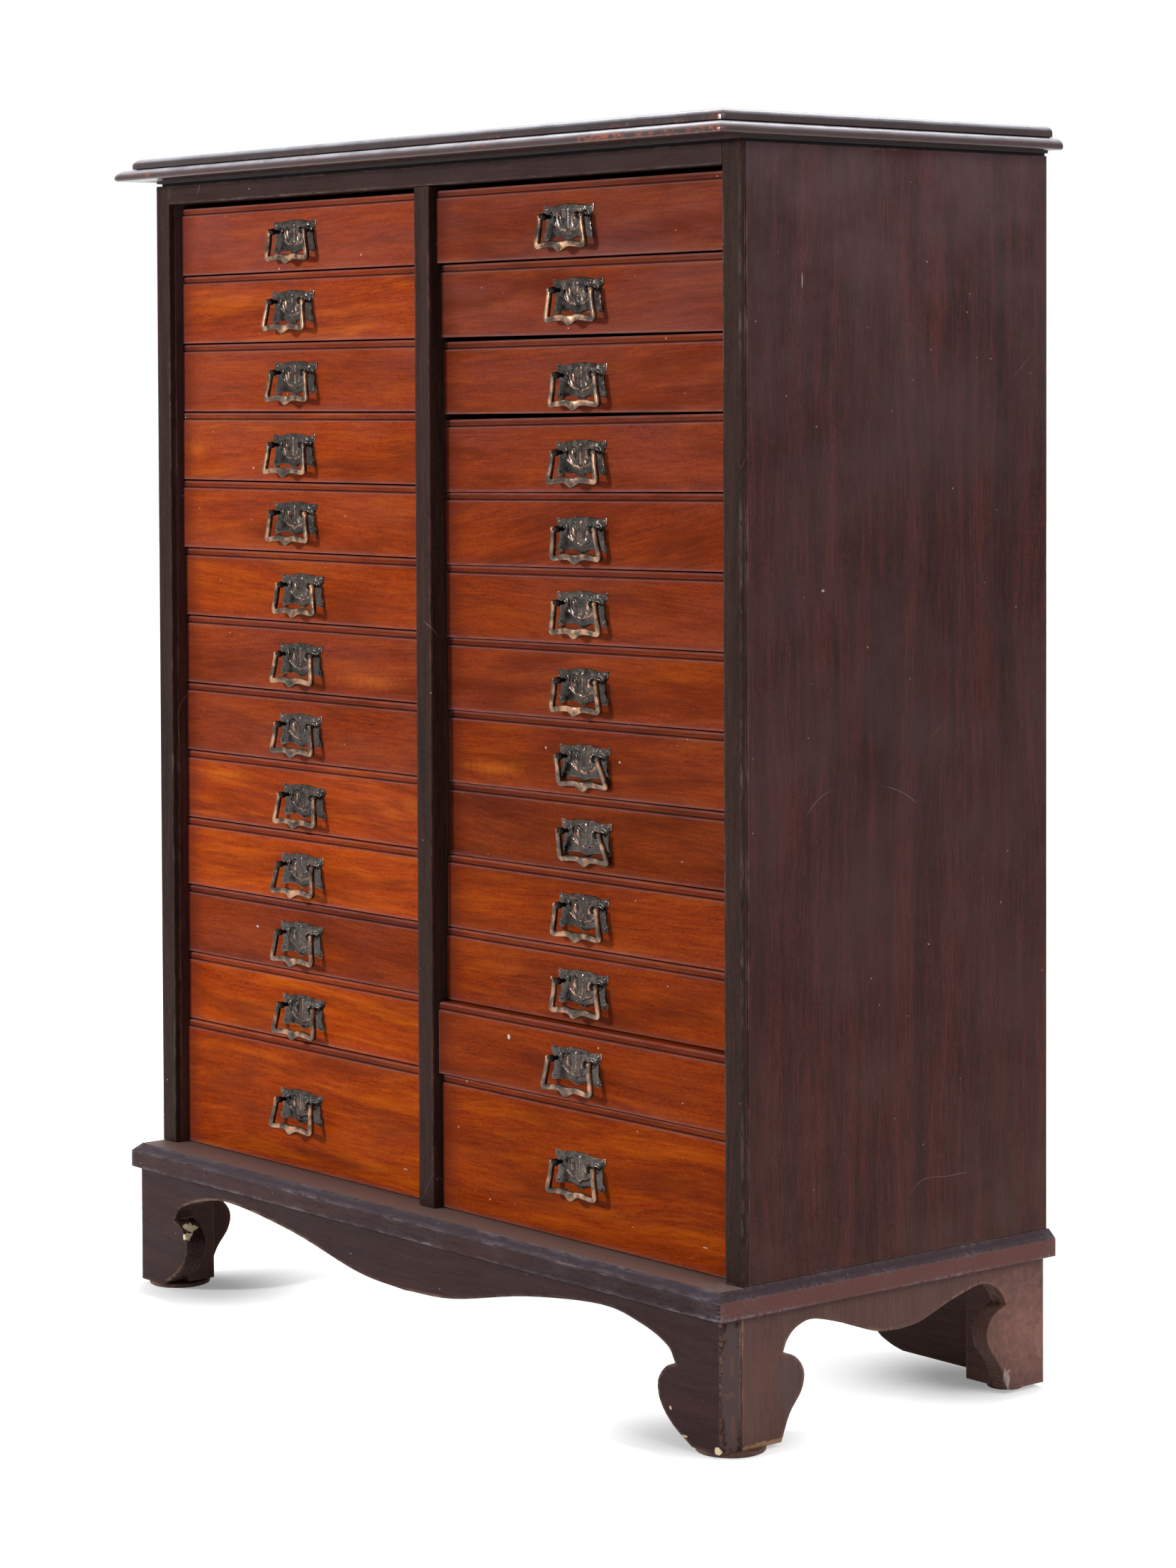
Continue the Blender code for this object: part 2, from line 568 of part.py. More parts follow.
def bail():
    """The swinging handle: two pins, splayed legs and a waisted bar with a drop in the middle."""
    leg_x = POST_SPACING / 2 + BALL_RADIUS + BAIL_CLEARANCE + LEG_WIDTH / 2
    pin_end = leg_x - LEG_WIDTH / 2 - PIN_LENGTH
    foot_x = leg_x + BAIL_FLARE
    low = -BAIL_LENGTH
    # Each station: its centre, the way across the bar, half its width and half its depth
    up = Vector((0, 0, 1))
    shoulder = Vector((1, 0, 1)).normalized()
    across = Vector((1, 0, 0))
    corner = Vector((1, 0, -1)).normalized()
    half = [
        ((pin_end, 0, 0), up, PIN_RADIUS, PIN_RADIUS),
        ((leg_x - LEG_WIDTH / 2, 0, 0), up, PIN_RADIUS, PIN_RADIUS),
        ((leg_x, -BAIL_FORWARD / 2, 0), shoulder, LEG_WIDTH / 2, LEG_DEPTH / 2),
        ((leg_x + BAIL_FLARE / 4, -BAIL_FORWARD, low / 3), across, LEG_WIDTH / 2, LEG_DEPTH / 2),
        ((foot_x, -BAIL_FORWARD, low + BAIL_CORNER), across, LEG_WIDTH / 2, LEG_DEPTH / 2),
        ((foot_x - BAIL_CORNER / 2, -BAIL_FORWARD, low), corner, BAR_HEIGHT / 2, LEG_DEPTH / 2),
        ((foot_x / 2, -BAIL_FORWARD, low + BAR_RISE), -up, BAR_WAIST / 2, LEG_DEPTH / 2),
        ((DROP_WIDTH / 2, -BAIL_FORWARD, low + BAR_RISE), -up, BAR_HEIGHT / 2, LEG_DEPTH / 2),
        ((0, -BAIL_FORWARD, low + BAR_RISE + (BAR_HEIGHT - DROP_HEIGHT) / 2), -up, DROP_HEIGHT / 2,
         LEG_DEPTH / 2),
    ]
    return loft([bail_ring(*station, 1) for station in half]
                + [bail_ring(*station, -1) for station in half[-2::-1]])


def bail_ring(centre, wide, half_wide, half_deep, side):
    """Points round the bail at one station; side mirrors them to the left half."""
    ring = []
    for index in range(BAIL_SIDES):
        angle = 2 * math.pi * index / BAIL_SIDES
        offset = wide * (half_wide * math.cos(angle))
        ring.append((side * (centre[0] + offset.x), centre[1] + half_deep * math.sin(angle),
                     centre[2] + offset.z))
    return ring


def build():
    """Model every piece in its place."""
    clear_scene()
    ebonised = make_material("ebonised_wood", (0.022, 0.017, 0.017), 0.30)
    dark = make_material("dark_stained_wood", (0.060, 0.026, 0.022), 0.45)
    stile = make_material("dark_rail_wood", (0.032, 0.022, 0.018), 0.50)
    mahogany = make_material("mahogany_drawer", (0.300, 0.060, 0.018), 0.38)
    bronze = make_material("bronze", (0.150, 0.085, 0.050), 0.40, 0.9)
    back_wood = make_material("back_wood", (0.130, 0.065, 0.035), 0.60)

    place("top_board", top_board(), ebonised)
    place("left_side", carcass_side(-1), dark)
    place("right_side", carcass_side(1), dark)
    place("centre_divider", centre_divider(), stile)
    place("top_rail", top_rail(), stile)
    place("back_panel", back_panel(), back_wood)
    place("base_board", base_board(), dark)
    place("plinth", plinth(), dark)

    bail_mesh = bail()
    columns = (("left", -1, LEFT_RECESS_SHARES, LEFT_DROOP_SHARES, LEFT_DRIFT_SHARES, LEFT_DROP_SHARES,
                LEFT_BAIL_LEANS),
               ("right", 1, RIGHT_RECESS_SHARES, RIGHT_DROOP_SHARES, RIGHT_DRIFT_SHARES,
                RIGHT_DROP_SHARES, RIGHT_BAIL_LEANS))
    for name, side, recesses, droops, drifts, drops, leans in columns:
        for row, bottom in enumerate(row_bottoms()):
            deep = row == DRAWER_ROWS - 1
            height = DEEP_FRONT_HEIGHT if deep else SHALLOW_FRONT_HEIGHT
            recess = DRAWER_RECESS * recesses[row]
            drift = HANDLE_DRIFT * drifts[row]
            middle = height / 2 - HANDLE_DROP * drops[row]
            tilt = Euler((0, -math.asin(DRAWER_DROOP * droops[row] / FRONT_WIDTH), 0))
            # A drooping drawer turns about the middle of its front's right end
            right_end = Vector((FRONT_WIDTH / 2, 0, height / 2))
            corner = Vector((side * COLUMN_X, FRONT_Y + recess, bottom))
            place_at = corner + right_end - tilt.to_matrix() @ right_end
            body = place(f"drawer_{name}_{row + 1:02d}", drawer(height, drift, middle), mahogany, place_at)
            body.rotation_euler = tilt
            pivot = (drift, -BALL_PROUD, middle + POST_RISE)
            ring = place(f"bail_{name}_{row + 1:02d}", bail_mesh, bronze, pivot)
            ring.parent = body
            ring.rotation_euler.x = -math.radians(leans[row])


build()
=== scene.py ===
"""Looks of the collectors cabinet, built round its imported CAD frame.

Metres, +Z up, the front faces -Y. Left and right are as seen from the front. Boards stand
where the frame's boxes say, and drawers and handles where its joints say.
"""

import json
from math import atan2, copysign, cos, pi, radians, sin, sqrt

import bmesh
import bpy
import numpy as np
from mathutils import Matrix, Vector
from mathutils.geometry import delaunay_2d_cdt


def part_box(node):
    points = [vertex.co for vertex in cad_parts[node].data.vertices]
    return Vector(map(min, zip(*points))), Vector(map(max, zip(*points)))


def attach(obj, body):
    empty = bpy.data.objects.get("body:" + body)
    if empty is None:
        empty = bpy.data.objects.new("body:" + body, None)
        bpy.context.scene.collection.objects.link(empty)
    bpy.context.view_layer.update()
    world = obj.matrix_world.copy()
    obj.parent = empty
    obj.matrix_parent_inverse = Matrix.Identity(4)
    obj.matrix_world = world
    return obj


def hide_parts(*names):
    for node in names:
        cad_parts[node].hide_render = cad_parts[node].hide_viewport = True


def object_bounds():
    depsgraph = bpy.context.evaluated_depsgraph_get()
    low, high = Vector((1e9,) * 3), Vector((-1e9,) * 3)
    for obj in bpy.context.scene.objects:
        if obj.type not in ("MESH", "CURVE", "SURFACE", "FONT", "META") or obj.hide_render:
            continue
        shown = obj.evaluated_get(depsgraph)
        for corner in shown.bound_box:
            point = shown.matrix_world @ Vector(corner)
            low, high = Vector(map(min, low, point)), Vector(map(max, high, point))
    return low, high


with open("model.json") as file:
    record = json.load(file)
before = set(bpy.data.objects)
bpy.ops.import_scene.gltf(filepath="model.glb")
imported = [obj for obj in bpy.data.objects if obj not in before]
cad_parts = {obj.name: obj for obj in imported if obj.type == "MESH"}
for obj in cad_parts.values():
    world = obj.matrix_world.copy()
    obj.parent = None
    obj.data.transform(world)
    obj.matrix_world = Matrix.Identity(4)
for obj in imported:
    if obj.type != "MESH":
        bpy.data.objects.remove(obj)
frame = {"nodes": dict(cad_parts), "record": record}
CAD_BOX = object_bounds()

MM = 0.001
SIDES = (("left", -1), ("right", 1))

# Carcass
SIDE_THICKNESS = 0.025
DIVIDER_THICKNESS = 0.025
FACING_DEPTH = 0.007
JOINT_GAP = 0.0005
SEAT_GAP = 0.0003
HALF_WIDTH = 0.488
FRONT_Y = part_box("top_rail")[0].y
RAIL_BACK_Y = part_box("top_rail")[1].y
RAIL_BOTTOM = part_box("top_rail")[0].z
BACK_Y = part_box("left_side")[1].y
CARCASS_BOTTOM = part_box("left_side")[0].z
CARCASS_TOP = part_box("left_side")[1].z
BACK_PANEL_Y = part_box("back_panel")[0].y
BACK_BOARDS_PER_METRE = 6.48
RUNNER_WIDTH = 0.010
RUNNER_HEIGHT = 0.009
RUNNER_TOP = 0.010
RUNNER_START = FRONT_Y + 0.045
RUNNER_STANDOFF = 0.1 * MM

# Boards: how round their arrises are, and how far each edge's wear and painted sheen reach into a
# face
BOARD_ARRIS, BOARD_MARGIN = 0.7 * MM, 2.2 * MM
FACING_ARRIS = 0.9 * MM
DIVIDER_ARRIS = 1.2 * MM
RAIL_ARRIS = 0.8 * MM
RUNNER_ARRIS, RUNNER_MARGIN = 0.5 * MM, 2 * MM
PLINTH_ARRIS, PLINTH_MARGIN = 0.9 * MM, 3 * MM
PLINTH_BACK_ARRIS = 0.8 * MM
BOX_ARRIS, BOX_MARGIN = 0.6 * MM, 3 * MM

# Top and base board: how far they stand out of the carcass in front, at the sides and behind
TOP_OVERHANGS = (0.028, 0.006, 0.0017)
BASE_OVERHANGS = (0.037, 0.0094, 0.0028)
TOP_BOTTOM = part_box("top_board")[0].z
BASE_BOTTOM, BASE_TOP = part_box("base_board")[0].z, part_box("base_board")[1].z

# Plinth
PLINTH_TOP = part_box("plinth")[1].z
PAD_HEIGHT = 0.0045
PLINTH_HEIGHT = PLINTH_TOP - PAD_HEIGHT
PLINTH_OUTER = HALF_WIDTH + 0.0015
PLINTH_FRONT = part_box("plinth")[0].y
PLINTH_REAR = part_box("plinth")[1].y
APRON_THICKNESS = 0.026
PLINTH_SIDE_THICKNESS = 0.0215
PLINTH_BACK_THICKNESS = 0.020
BLOCK_SIZE = 0.034
# How far the rear board and the blocks stay clear of the plinth's upper and lower edge
PLINTH_BACK_INSET, BLOCK_INSET = 1 * MM, 2 * MM
# Widths of the brackets, and from the corner to the cusp where the arch starts
FRONT_BRACKET_WIDTH, FRONT_CUSP = 0.0910, 0.0655
SIDE_BRACKET_WIDTH, SIDE_CUSP = 0.0805, 0.0530
REAR_BRACKET_WIDTH = 0.200
# Pads: radius, how far the middle is in from the front or back, and from the side
FRONT_PAD = (0.034, 0.034, 0.025)
REAR_PAD = (0.019, 0.027, 0.027)

# Outlines of the plinth's boards as shares, the brackets across from the corner, the arches
# from the middle out to the cusp, and both up the plinth from its lower edge
FRONT_BRACKET = ((0.459, 0.0), (0.768, 0.130), (0.960, 0.280), (0.995, 0.430), (0.878, 0.545),
                 (0.720, 0.597))
SIDE_BRACKET = ((0.627, 0.0), (0.760, 0.200), (0.950, 0.360), (0.990, 0.500), (0.870, 0.615),
                (0.658, 0.676))
FRONT_ARCH = ((1.0, 0.597), (0.972, 0.715), (0.884, 0.822), (0.743, 0.884), (0.472, 0.787),
              (0.190, 0.602), (0.0, 0.562))
SIDE_ARCH = ((1.0, 0.676), (0.960, 0.770), (0.880, 0.845), (0.740, 0.878), (0.480, 0.800),
             (0.200, 0.688), (0.0, 0.664))
REAR_BRACKET = ((0.80, 0.0), (0.90, 0.040), (1.0, 0.130), (1.12, 0.420), (1.26, 0.640))

# Drawers, and their boxes
DRAWER_ROWS = 13
COLUMN_X = 0.23775
FRONT_WIDTH = 0.4485
FRONT_THICKNESS = 0.019
BOX_HALF = 0.22375
BOX_SIDE = 0.009
BOX_BOTTOM = 0.005
BOX_RISE = 0.004
BOX_TOP_DROP = 0.006
BOX_BACK_DROP = 0.004
DRAWER_LENGTH = BACK_PANEL_Y - FRONT_Y - 0.025

# The moulding of a drawer's front, in millimetres
BAND_HEIGHT = 6.2
BAND_SETBACK = 1.0
BAND_ROUND = 2.2
GROOVE_WIDTH = 1.0
GROOVE_DEPTH = 2.2
FACE_ROUND = 1.8
CORNER_ROUND = 1.8
# Fronts whose upper left corner is worn rounder
WORN_CORNERS = ("right_08", "right_10", "right_12")
WORN_CORNER_ROUND = 3.4

# Handles, in millimetres and degrees
PLATE_THICKNESS = 1.2
RELIEF_GRID = 0.75
BALL_PROUD = 11.0
BALL_RADIUS = 3.6
POST_RISE = 5.6
POST_SPACING = 52.0
PLUMB_STOP = -18

# Half of the plate's outline in millimetres, from the top middle round to the bottom middle
PLATE_OUTLINE = ((0, 17.9), (9, 17.7), (18, 16.6), (26, 15.7), (31, 15.7), (34.5, 16.3),
                 (37.4, 16.8), (38.5, 15.8), (38.4, 12), (37.4, 9.2), (35.4, 7.2), (34.4, 4.5),
                 (34.3, -3), (35.2, -7.5), (37.4, -10.5), (38.5, -13.8), (37.6, -16.6),
                 (35.2, -17.3), (31, -16.6), (24, -15.1), (16, -14.6), (9, -15.6), (4, -17.6),
                 (0, -18.6))

# Half of the bail in millimetres, from the right post's pin to the middle of the drop: across,
# forward, up, then half its width and half its depth
BAIL_PATH = ((32.1, 0, 0.6, 2.4, 2.1), (32.1, 0.1, -2.4, 2.6, 2.3), (32.5, 0.3, -7, 2.6, 2.4),
             (33.4, 0.5, -12, 2.7, 2.4), (34.6, 0.8, -18, 2.8, 2.4), (35.7, 1.1, -22.8, 3.0, 2.4),
             (36.1, 1.2, -26, 3.1, 2.4), (35.6, 1.3, -28.2, 3.2, 2.4), (33.6, 1.3, -28.9, 3.0, 2.4),
             (30, 1.3, -28.7, 2.9, 2.4), (25.5, 1.3, -28.1, 3.0, 2.4), (20.5, 1.3, -27.5, 3.1, 2.4),
             (15.5, 1.3, -27.1, 3.2, 2.4), (11.5, 1.3, -27.2, 3.3, 2.4), (8, 1.5, -27.8, 3.6, 2.4),
             (5.2, 1.9, -28.7, 4.2, 2.4), (2.6, 2.3, -29.4, 4.9, 2.4), (0, 2.5, -29.9, 5.4, 2.4))
# How square the bail is cut: 1 is round
SQUARENESS = 0.5
# The knuckle at the top of a leg: how far across, and its radius
KNUCKLE = ((28.9, 1.3), (29.8, 1.3), (29.9, 2.6), (30.2, 3.0), (30.6, 2.8), (30.8, 2.4),
           (31.2, 2.9), (32.1, 3.1), (33.1, 2.9), (33.8, 2.4), (34.2, 1.7), (34.5, 0.9),
           (34.6, 0.2))

# Each drawer's looks, from the top row down: how pink its haze is, how orange its patches are,
# how dark its figure is, how far its grain slants in degrees, and how light it is. The right
# bank's fronts are about a tenth darker overall: painted shade, as for light from the left.
LEFT_WOOD = ((0.65, 0.4, 0.5, 1, 0.99), (0.35, 0.8, 0.8, 2, 1.05), (0.6, 0.4, 0.6, -1, 0.97),
             (0.3, 0.6, 0.8, 3, 1.02), (0.3, 0.4, 0.6, 0, 1.00), (0.2, 0.5, 0.5, -2, 1.00),
             (0.3, 0.3, 0.7, 2, 0.95), (0.3, 0.3, 0.4, 0, 0.93), (0.15, 0.8, 0.9, -2, 1.08),
             (0.1, 0.6, 0.5, 1, 1.08), (0.2, 0.3, 0.3, 0, 0.90), (0.0, 0.8, 0.6, -1, 1.06),
             (0.0, 0.7, 0.6, 1, 1.03))
RIGHT_WOOD = ((1.0, 0.4, 0.9, 1, 0.86), (0.75, 0.4, 0.9, 2, 0.89), (0.45, 0.5, 0.6, 2, 0.91),
              (0.4, 0.4, 0.5, 0, 0.91), (0.3, 0.1, 1.0, 9, 0.92), (0.3, 0.3, 0.7, -2, 0.90),
              (0.3, 0.4, 0.6, 1, 0.92), (0.2, 0.5, 0.6, 1, 0.89), (0.2, 0.4, 0.5, -1, 0.80),
              (0.1, 0.6, 0.8, 3, 0.94), (0.1, 0.5, 0.6, 0, 0.93), (0.1, 0.3, 0.4, 1, 0.93),
              (0.0, 0.7, 0.6, 2, 0.96))

# Marks on the fronts: across from the middle, up as a share of the height, half its width and
# half its height, colour and strength. Colours are screen colours, from 0 to 255.
WHITE, KNOT, ORANGE = (205, 196, 192), (44, 16, 10), (196, 104, 30)
MARKS = {"left_03": ((0.208, 0.38, 0.0022, 0.0018, KNOT, 0.9),),
         "left_04": ((-0.195, 0.45, 0.030, 0.018, ORANGE, 0.45),),
         "left_07": ((0.120, 0.25, 0.080, 0.012, ORANGE, 0.45),),
         "left_09": ((-0.150, 0.70, 0.060, 0.008, ORANGE, 0.50),
                     (0.190, 0.60, 0.030, 0.012, ORANGE, 0.45)),
         "left_11": ((-0.089, 0.55, 0.0022, 0.0014, WHITE, 0.7),),
         "left_13": ((0.180, 0.20, 0.0040, 0.0006, WHITE, 0.6),),
         "right_08": ((-0.150, 0.25, 0.070, 0.011, ORANGE, 0.45),
                      (-0.066, 0.60, 0.0012, 0.0012, WHITE, 0.8),
                      (0.048, 0.50, 0.0012, 0.0012, WHITE, 0.8)),
         "right_12": ((-0.108, 0.70, 0.0022, 0.0028, WHITE, 0.9),),
         "right_13": ((0.185, 0.18, 0.0040, 0.0006, WHITE, 0.6),)}
# How ragged a small mark and a cloud are, and where each starts to fade
MARK_EDGE, CLOUD_EDGE, CLOUD_WIDTH = (0.2, 0.8), (0.6, -0.3), 0.01

# Marks on the dark boards: place, half sizes, colour, strength, how ragged, where it fades from
SCRATCHES = (
    ((HALF_WIDTH, FRONT_Y + 0.078, 1.100), (0.002, 0.0006, 0.008), (176, 164, 164), 0.8, 0.1),
    ((HALF_WIDTH, FRONT_Y + 0.104, 0.807), (0.002, 0.0022, 0.0014), (176, 160, 154), 0.8, 0.3))
PALE, COPPER, GREY = (226, 206, 170), (130, 84, 62), (98, 82, 80)
NEAR, FAR = PLINTH_OUTER, -PLINTH_OUTER
APRON_MARKS = (
    ((NEAR, PLINTH_FRONT + 0.013, 0.07), (0.004, 0.013, 0.080), GREY, 0.60, 0.6),
    ((NEAR, PLINTH_FRONT + 0.010, 0.060), (0.003, 0.006, 0.004), COPPER, 0.25, 1.3),
    ((NEAR, PLINTH_FRONT + 0.014, 0.088), (0.003, 0.003, 0.010), COPPER, 0.25, 1.3),
    ((NEAR, PLINTH_FRONT + 0.015, 0.032), (0.003, 0.003, 0.012), COPPER, 0.25, 1.3),
    ((NEAR - 0.0045, PLINTH_FRONT, PAD_HEIGHT + 0.004), (0.0045, 0.004, 0.0042), PALE, 0.95, 0.7),
    ((NEAR - 0.072, PLINTH_FRONT, 0.036), (0.0018, 0.004, 0.002), PALE, 0.7, 1.2),
    ((NEAR - 0.052, PLINTH_FRONT, 0.013), (0.004, 0.004, 0.0012), PALE, 0.6, 1.2),
    ((FAR + 0.078, PLINTH_FRONT + 0.012, 0.073), (0.010, 0.012, 0.004), PALE, 0.9, 1.6),
    ((FAR + 0.086, PLINTH_FRONT + 0.003, 0.064), (0.004, 0.006, 0.006), PALE, 0.9, 1.4),
    ((FAR + 0.087, PLINTH_FRONT + 0.016, 0.052), (0.003, 0.008, 0.002), PALE, 0.8, 1.5),
    ((FAR + 0.080, PLINTH_FRONT, 0.028), (0.007, 0.006, 0.010), (128, 76, 64), 0.5, 1.0, 0.2))
PLINTH_SIDE_MARKS = (
    ((NEAR, PLINTH_FRONT + 0.055, PAD_HEIGHT + 0.002), (0.004, 0.034, 0.003), (168, 130, 100),
     0.8, 1.0),
    ((NEAR, PLINTH_REAR - 0.054, 0.014), (0.003, 0.007, 0.012), (186, 176, 172), 0.8, 1.1),
    ((NEAR, PLINTH_REAR - 0.006, 0.050), (0.003, 0.006, 0.020), (150, 118, 108), 0.5, 1.1),
    ((NEAR, PLINTH_FRONT + 0.060, 0.080), (0.003, 0.020, 0.050), (112, 72, 62), 0.45, 0.6, -0.2),
    ((NEAR, PLINTH_REAR - 0.03, 0.06), (0.004, 0.10, 0.11), (146, 104, 94), 0.95, 0.6, -0.4),
    ((NEAR, PLINTH_FRONT + 0.085, 0.060), (0.003, 0.012, 0.040), (84, 78, 82), 0.3, 1.0))

# Floor: half its size, its glow by the feet and away from them, the place of a foot, over what
# distance from there the glow grows, and the lines beyond which it is full. The glow is painted
# light and shade: dim by the feet, a painted shadow there, and full elsewhere, where it paints
# out the shadow.
FLOOR_HALF = 20
FLOOR_GLOW = (0.25, 0.97)
FEET = (0.42, 0.18, 0.0)
FEET_REACH = (0.02, 0.17)
FEET_EDGES = (("X", 0.480), ("Y", 0.225))
EDGE_FADE = 0.04
WORLD_STRENGTH = 0.33

# Lamps: place, the point they are aimed at, size and watts
LAMPS = {"key": ((-1.3, -3.5, 1.9), (-0.05, -0.2, 0.65), 0.45, 108),
         "side": ((3.0, 0.2, 2.4), (0.49, 0, 0.7), 1.8, 52),
         "overhead": ((-1.0, 1.1, 3.4), (0.3, -0.1, 1.2), 2.2, 80)}

# Camera, solved on the photograph's corners
IMAGE_WIDTH, IMAGE_HEIGHT = 1659, 2212
CAMERA_PLACE = (3.2238, -2.6350, 0.9896)
YAW, PITCH, ROLL = 0.8847, -0.0343, -0.0041
FOCAL_PIXELS = 5575.6
CENTRE_X, CENTRE_Y = 797.5, 754.0
SENSOR_WIDTH = 36


def linear(tone):
    """The linear colour of a screen colour; a socket or four linear numbers stay as they are."""
    if isinstance(tone, bpy.types.NodeSocket) or len(tone) == 4:
        return tone
    shares = [value / 255 for value in tone]
    return (*(share / 12.92 if share <= 0.04045 else ((share + 0.055) / 1.055) ** 2.4
              for share in shares), 1.0)


def smooth_step(value, low, high):
    """0 below low, 1 above high, and an easy slope between them, for arrays too."""
    share = np.clip((value - low) / (high - low), 0, 1)
    return share * share * (3 - 2 * share)


def smooth_curve(points, steps):
    """Points of a smooth curve through the given ones, its ends included."""
    vectors = [Vector(point) for point in points]
    padded = [vectors[0] * 2 - vectors[1], *vectors, vectors[-1] * 2 - vectors[-2]]
    curve = []
    for index in range(1, len(vectors)):
        before, start, end, after = padded[index - 1:index + 3]
        for t in (step / steps for step in range(steps)):
            curve.append(0.5 * (2 * start + (end - before) * t
                                + (2 * before - 5 * start + 4 * end - after) * t ** 2
                                + (3 * start - before - 3 * end + after) * t ** 3))
    return [tuple(point) for point in [*curve, vectors[-1]]]


def turns(count):
    """The angles of even steps round a circle."""
    return [2 * pi * index / count for index in range(count)]


def new_object(name, data):
    """An object in the scene."""
    item = bpy.data.objects.new(name, data)
    bpy.context.scene.collection.objects.link(item)
    return item


# Materials

class Nodes:
    """A shader's nodes, added one call at a time."""

    def __init__(self, tree):
        self.tree = tree

    def set(self, socket, value):
        """Link a node's output to a socket, or give the socket a plain value."""
        if isinstance(value, bpy.types.NodeSocket):
            self.tree.links.new(value, socket)
        else:
            socket.default_value = value

    def add(self, kind, inputs, output=0, **settings):
        """Add a node and return one of its outputs."""
        node = self.tree.nodes.new("ShaderNode" + kind)
        for name, value in settings.items():
            setattr(node, name, value)
        for socket, value in inputs.items():
            self.set(node.inputs[socket], value)
        return node.outputs[output]

    def math(self, operation, first, second=0.0):
        """Two numbers joined by one sum."""
        return self.add("Math", {0: first, 1: second}, operation=operation)

    def times(self, first, second):
        """Two numbers multiplied."""
        return self.math("MULTIPLY", first, second)

    def step(self, value, low, high, to_low=0.0, to_high=1.0):
        """A smooth rise from to_low to to_high as the value goes from low to high."""
        return self.add("MapRange", {0: value, 1: low, 2: high, 3: to_low, 4: to_high},
                        interpolation_type="SMOOTHSTEP")

    def ray_is(self, *kinds):
        """1 for rays of the kinds given, 0 for others."""
        found = 0.0
        for kind in kinds:
            found = self.math("MAXIMUM", found, self.add("LightPath", {}, kind))
        return found


class Finish(Nodes):
    """A material on the Principled shader, its colour built up layer by layer."""

    def __init__(self, name, **values):
        self.material = bpy.data.materials.new(name)
        self.material.use_nodes = True
        super().__init__(self.material.node_tree)
        self.shader = self.tree.nodes["Principled BSDF"]
        self.colour = None
        for socket, value in values.items():
            self.give(socket.replace("_", " "), value)

    def give(self, name, value):
        """Set one of the shader's own inputs."""
        self.set(self.shader.inputs[name], value)

    def coordinates(self):
        """The object's own coordinates, in metres."""
        return self.add("TexCoord", {}, "Object")

    def scaled(self, vector, factors):
        """A vector, each axis times its factor."""
        return self.add("VectorMath", {0: vector, 1: factors}, operation="MULTIPLY")

    def moved(self, vector, offset):
        """A vector plus an offset."""
        return self.add("VectorMath", {0: vector, 1: offset}, operation="ADD")

    def part(self, vector, axis):
        """One coordinate of a vector."""
        return self.add("SeparateXYZ", {0: vector}, axis)

    def facing(self, axis):
        """How far the surface faces along an axis, from -1 to 1."""
        return self.part(self.add("NewGeometry", {}, "Normal"), axis)

    def attribute(self, name):
        """A number kept on the mesh's points."""
        return self.add("Attribute", {}, "Fac", attribute_name=name)

    def noise(self, place, scale, detail=2.0, roughness=0.5, distortion=0.0, output="Fac"):
        """Smooth noise about 0.5; the scale is one number or one for each axis."""
        if isinstance(scale, tuple):
            place, scale = self.scaled(place, scale), 1.0
        return self.add("TexNoise", {"Vector": place, "Scale": scale, "Detail": detail,
                                     "Roughness": roughness, "Distortion": distortion}, output)

    def sum_of(self, *terms):
        """A weighted sum of values."""
        total = None
        for value, weight in terms:
            term = self.times(value, weight)
            total = term if total is None else self.math("ADD", total, term)
        return total

    def mix(self, factor, tone):
        """Mix a tone into the colour."""
        self.colour = self.add("Mix", {0: factor, 6: self.colour, 7: linear(tone)}, 2,
                               data_type="RGBA")

    def over(self, tone, value, low, high, at_high=1.0, at_low=0.0):
        """Mix a tone into the colour, its strength following a value from low to high."""
        self.mix(self.step(value, low, high, at_low, at_high), tone)

    def ramp(self, value, stops):
        """A colour that follows the value through stops of place and tone."""
        output = self.add("ValToRGB", {0: value})
        ramp = output.node.color_ramp
        while len(ramp.elements) < len(stops):
            ramp.elements.new(0.5)
        for element, (position, tone) in zip(ramp.elements, stops):
            element.position = position
            element.color = linear(tone)
        return output

    def finish(self, roughness, height, distance):
        """Set colour, roughness and relief, the height times a distance; the material."""
        self.give("Normal", self.add("Bump", {"Height": height, "Distance": distance,
                                              "Strength": 1.0}))
        self.give("Base Color", self.colour)
        self.give("Roughness", roughness)
        return self.material


def stretch(along, long_scale, cross_scale):
    """Scales for each axis: one along the grain and one across it."""
    return tuple(long_scale if axis == along else cross_scale for axis in "XYZ")


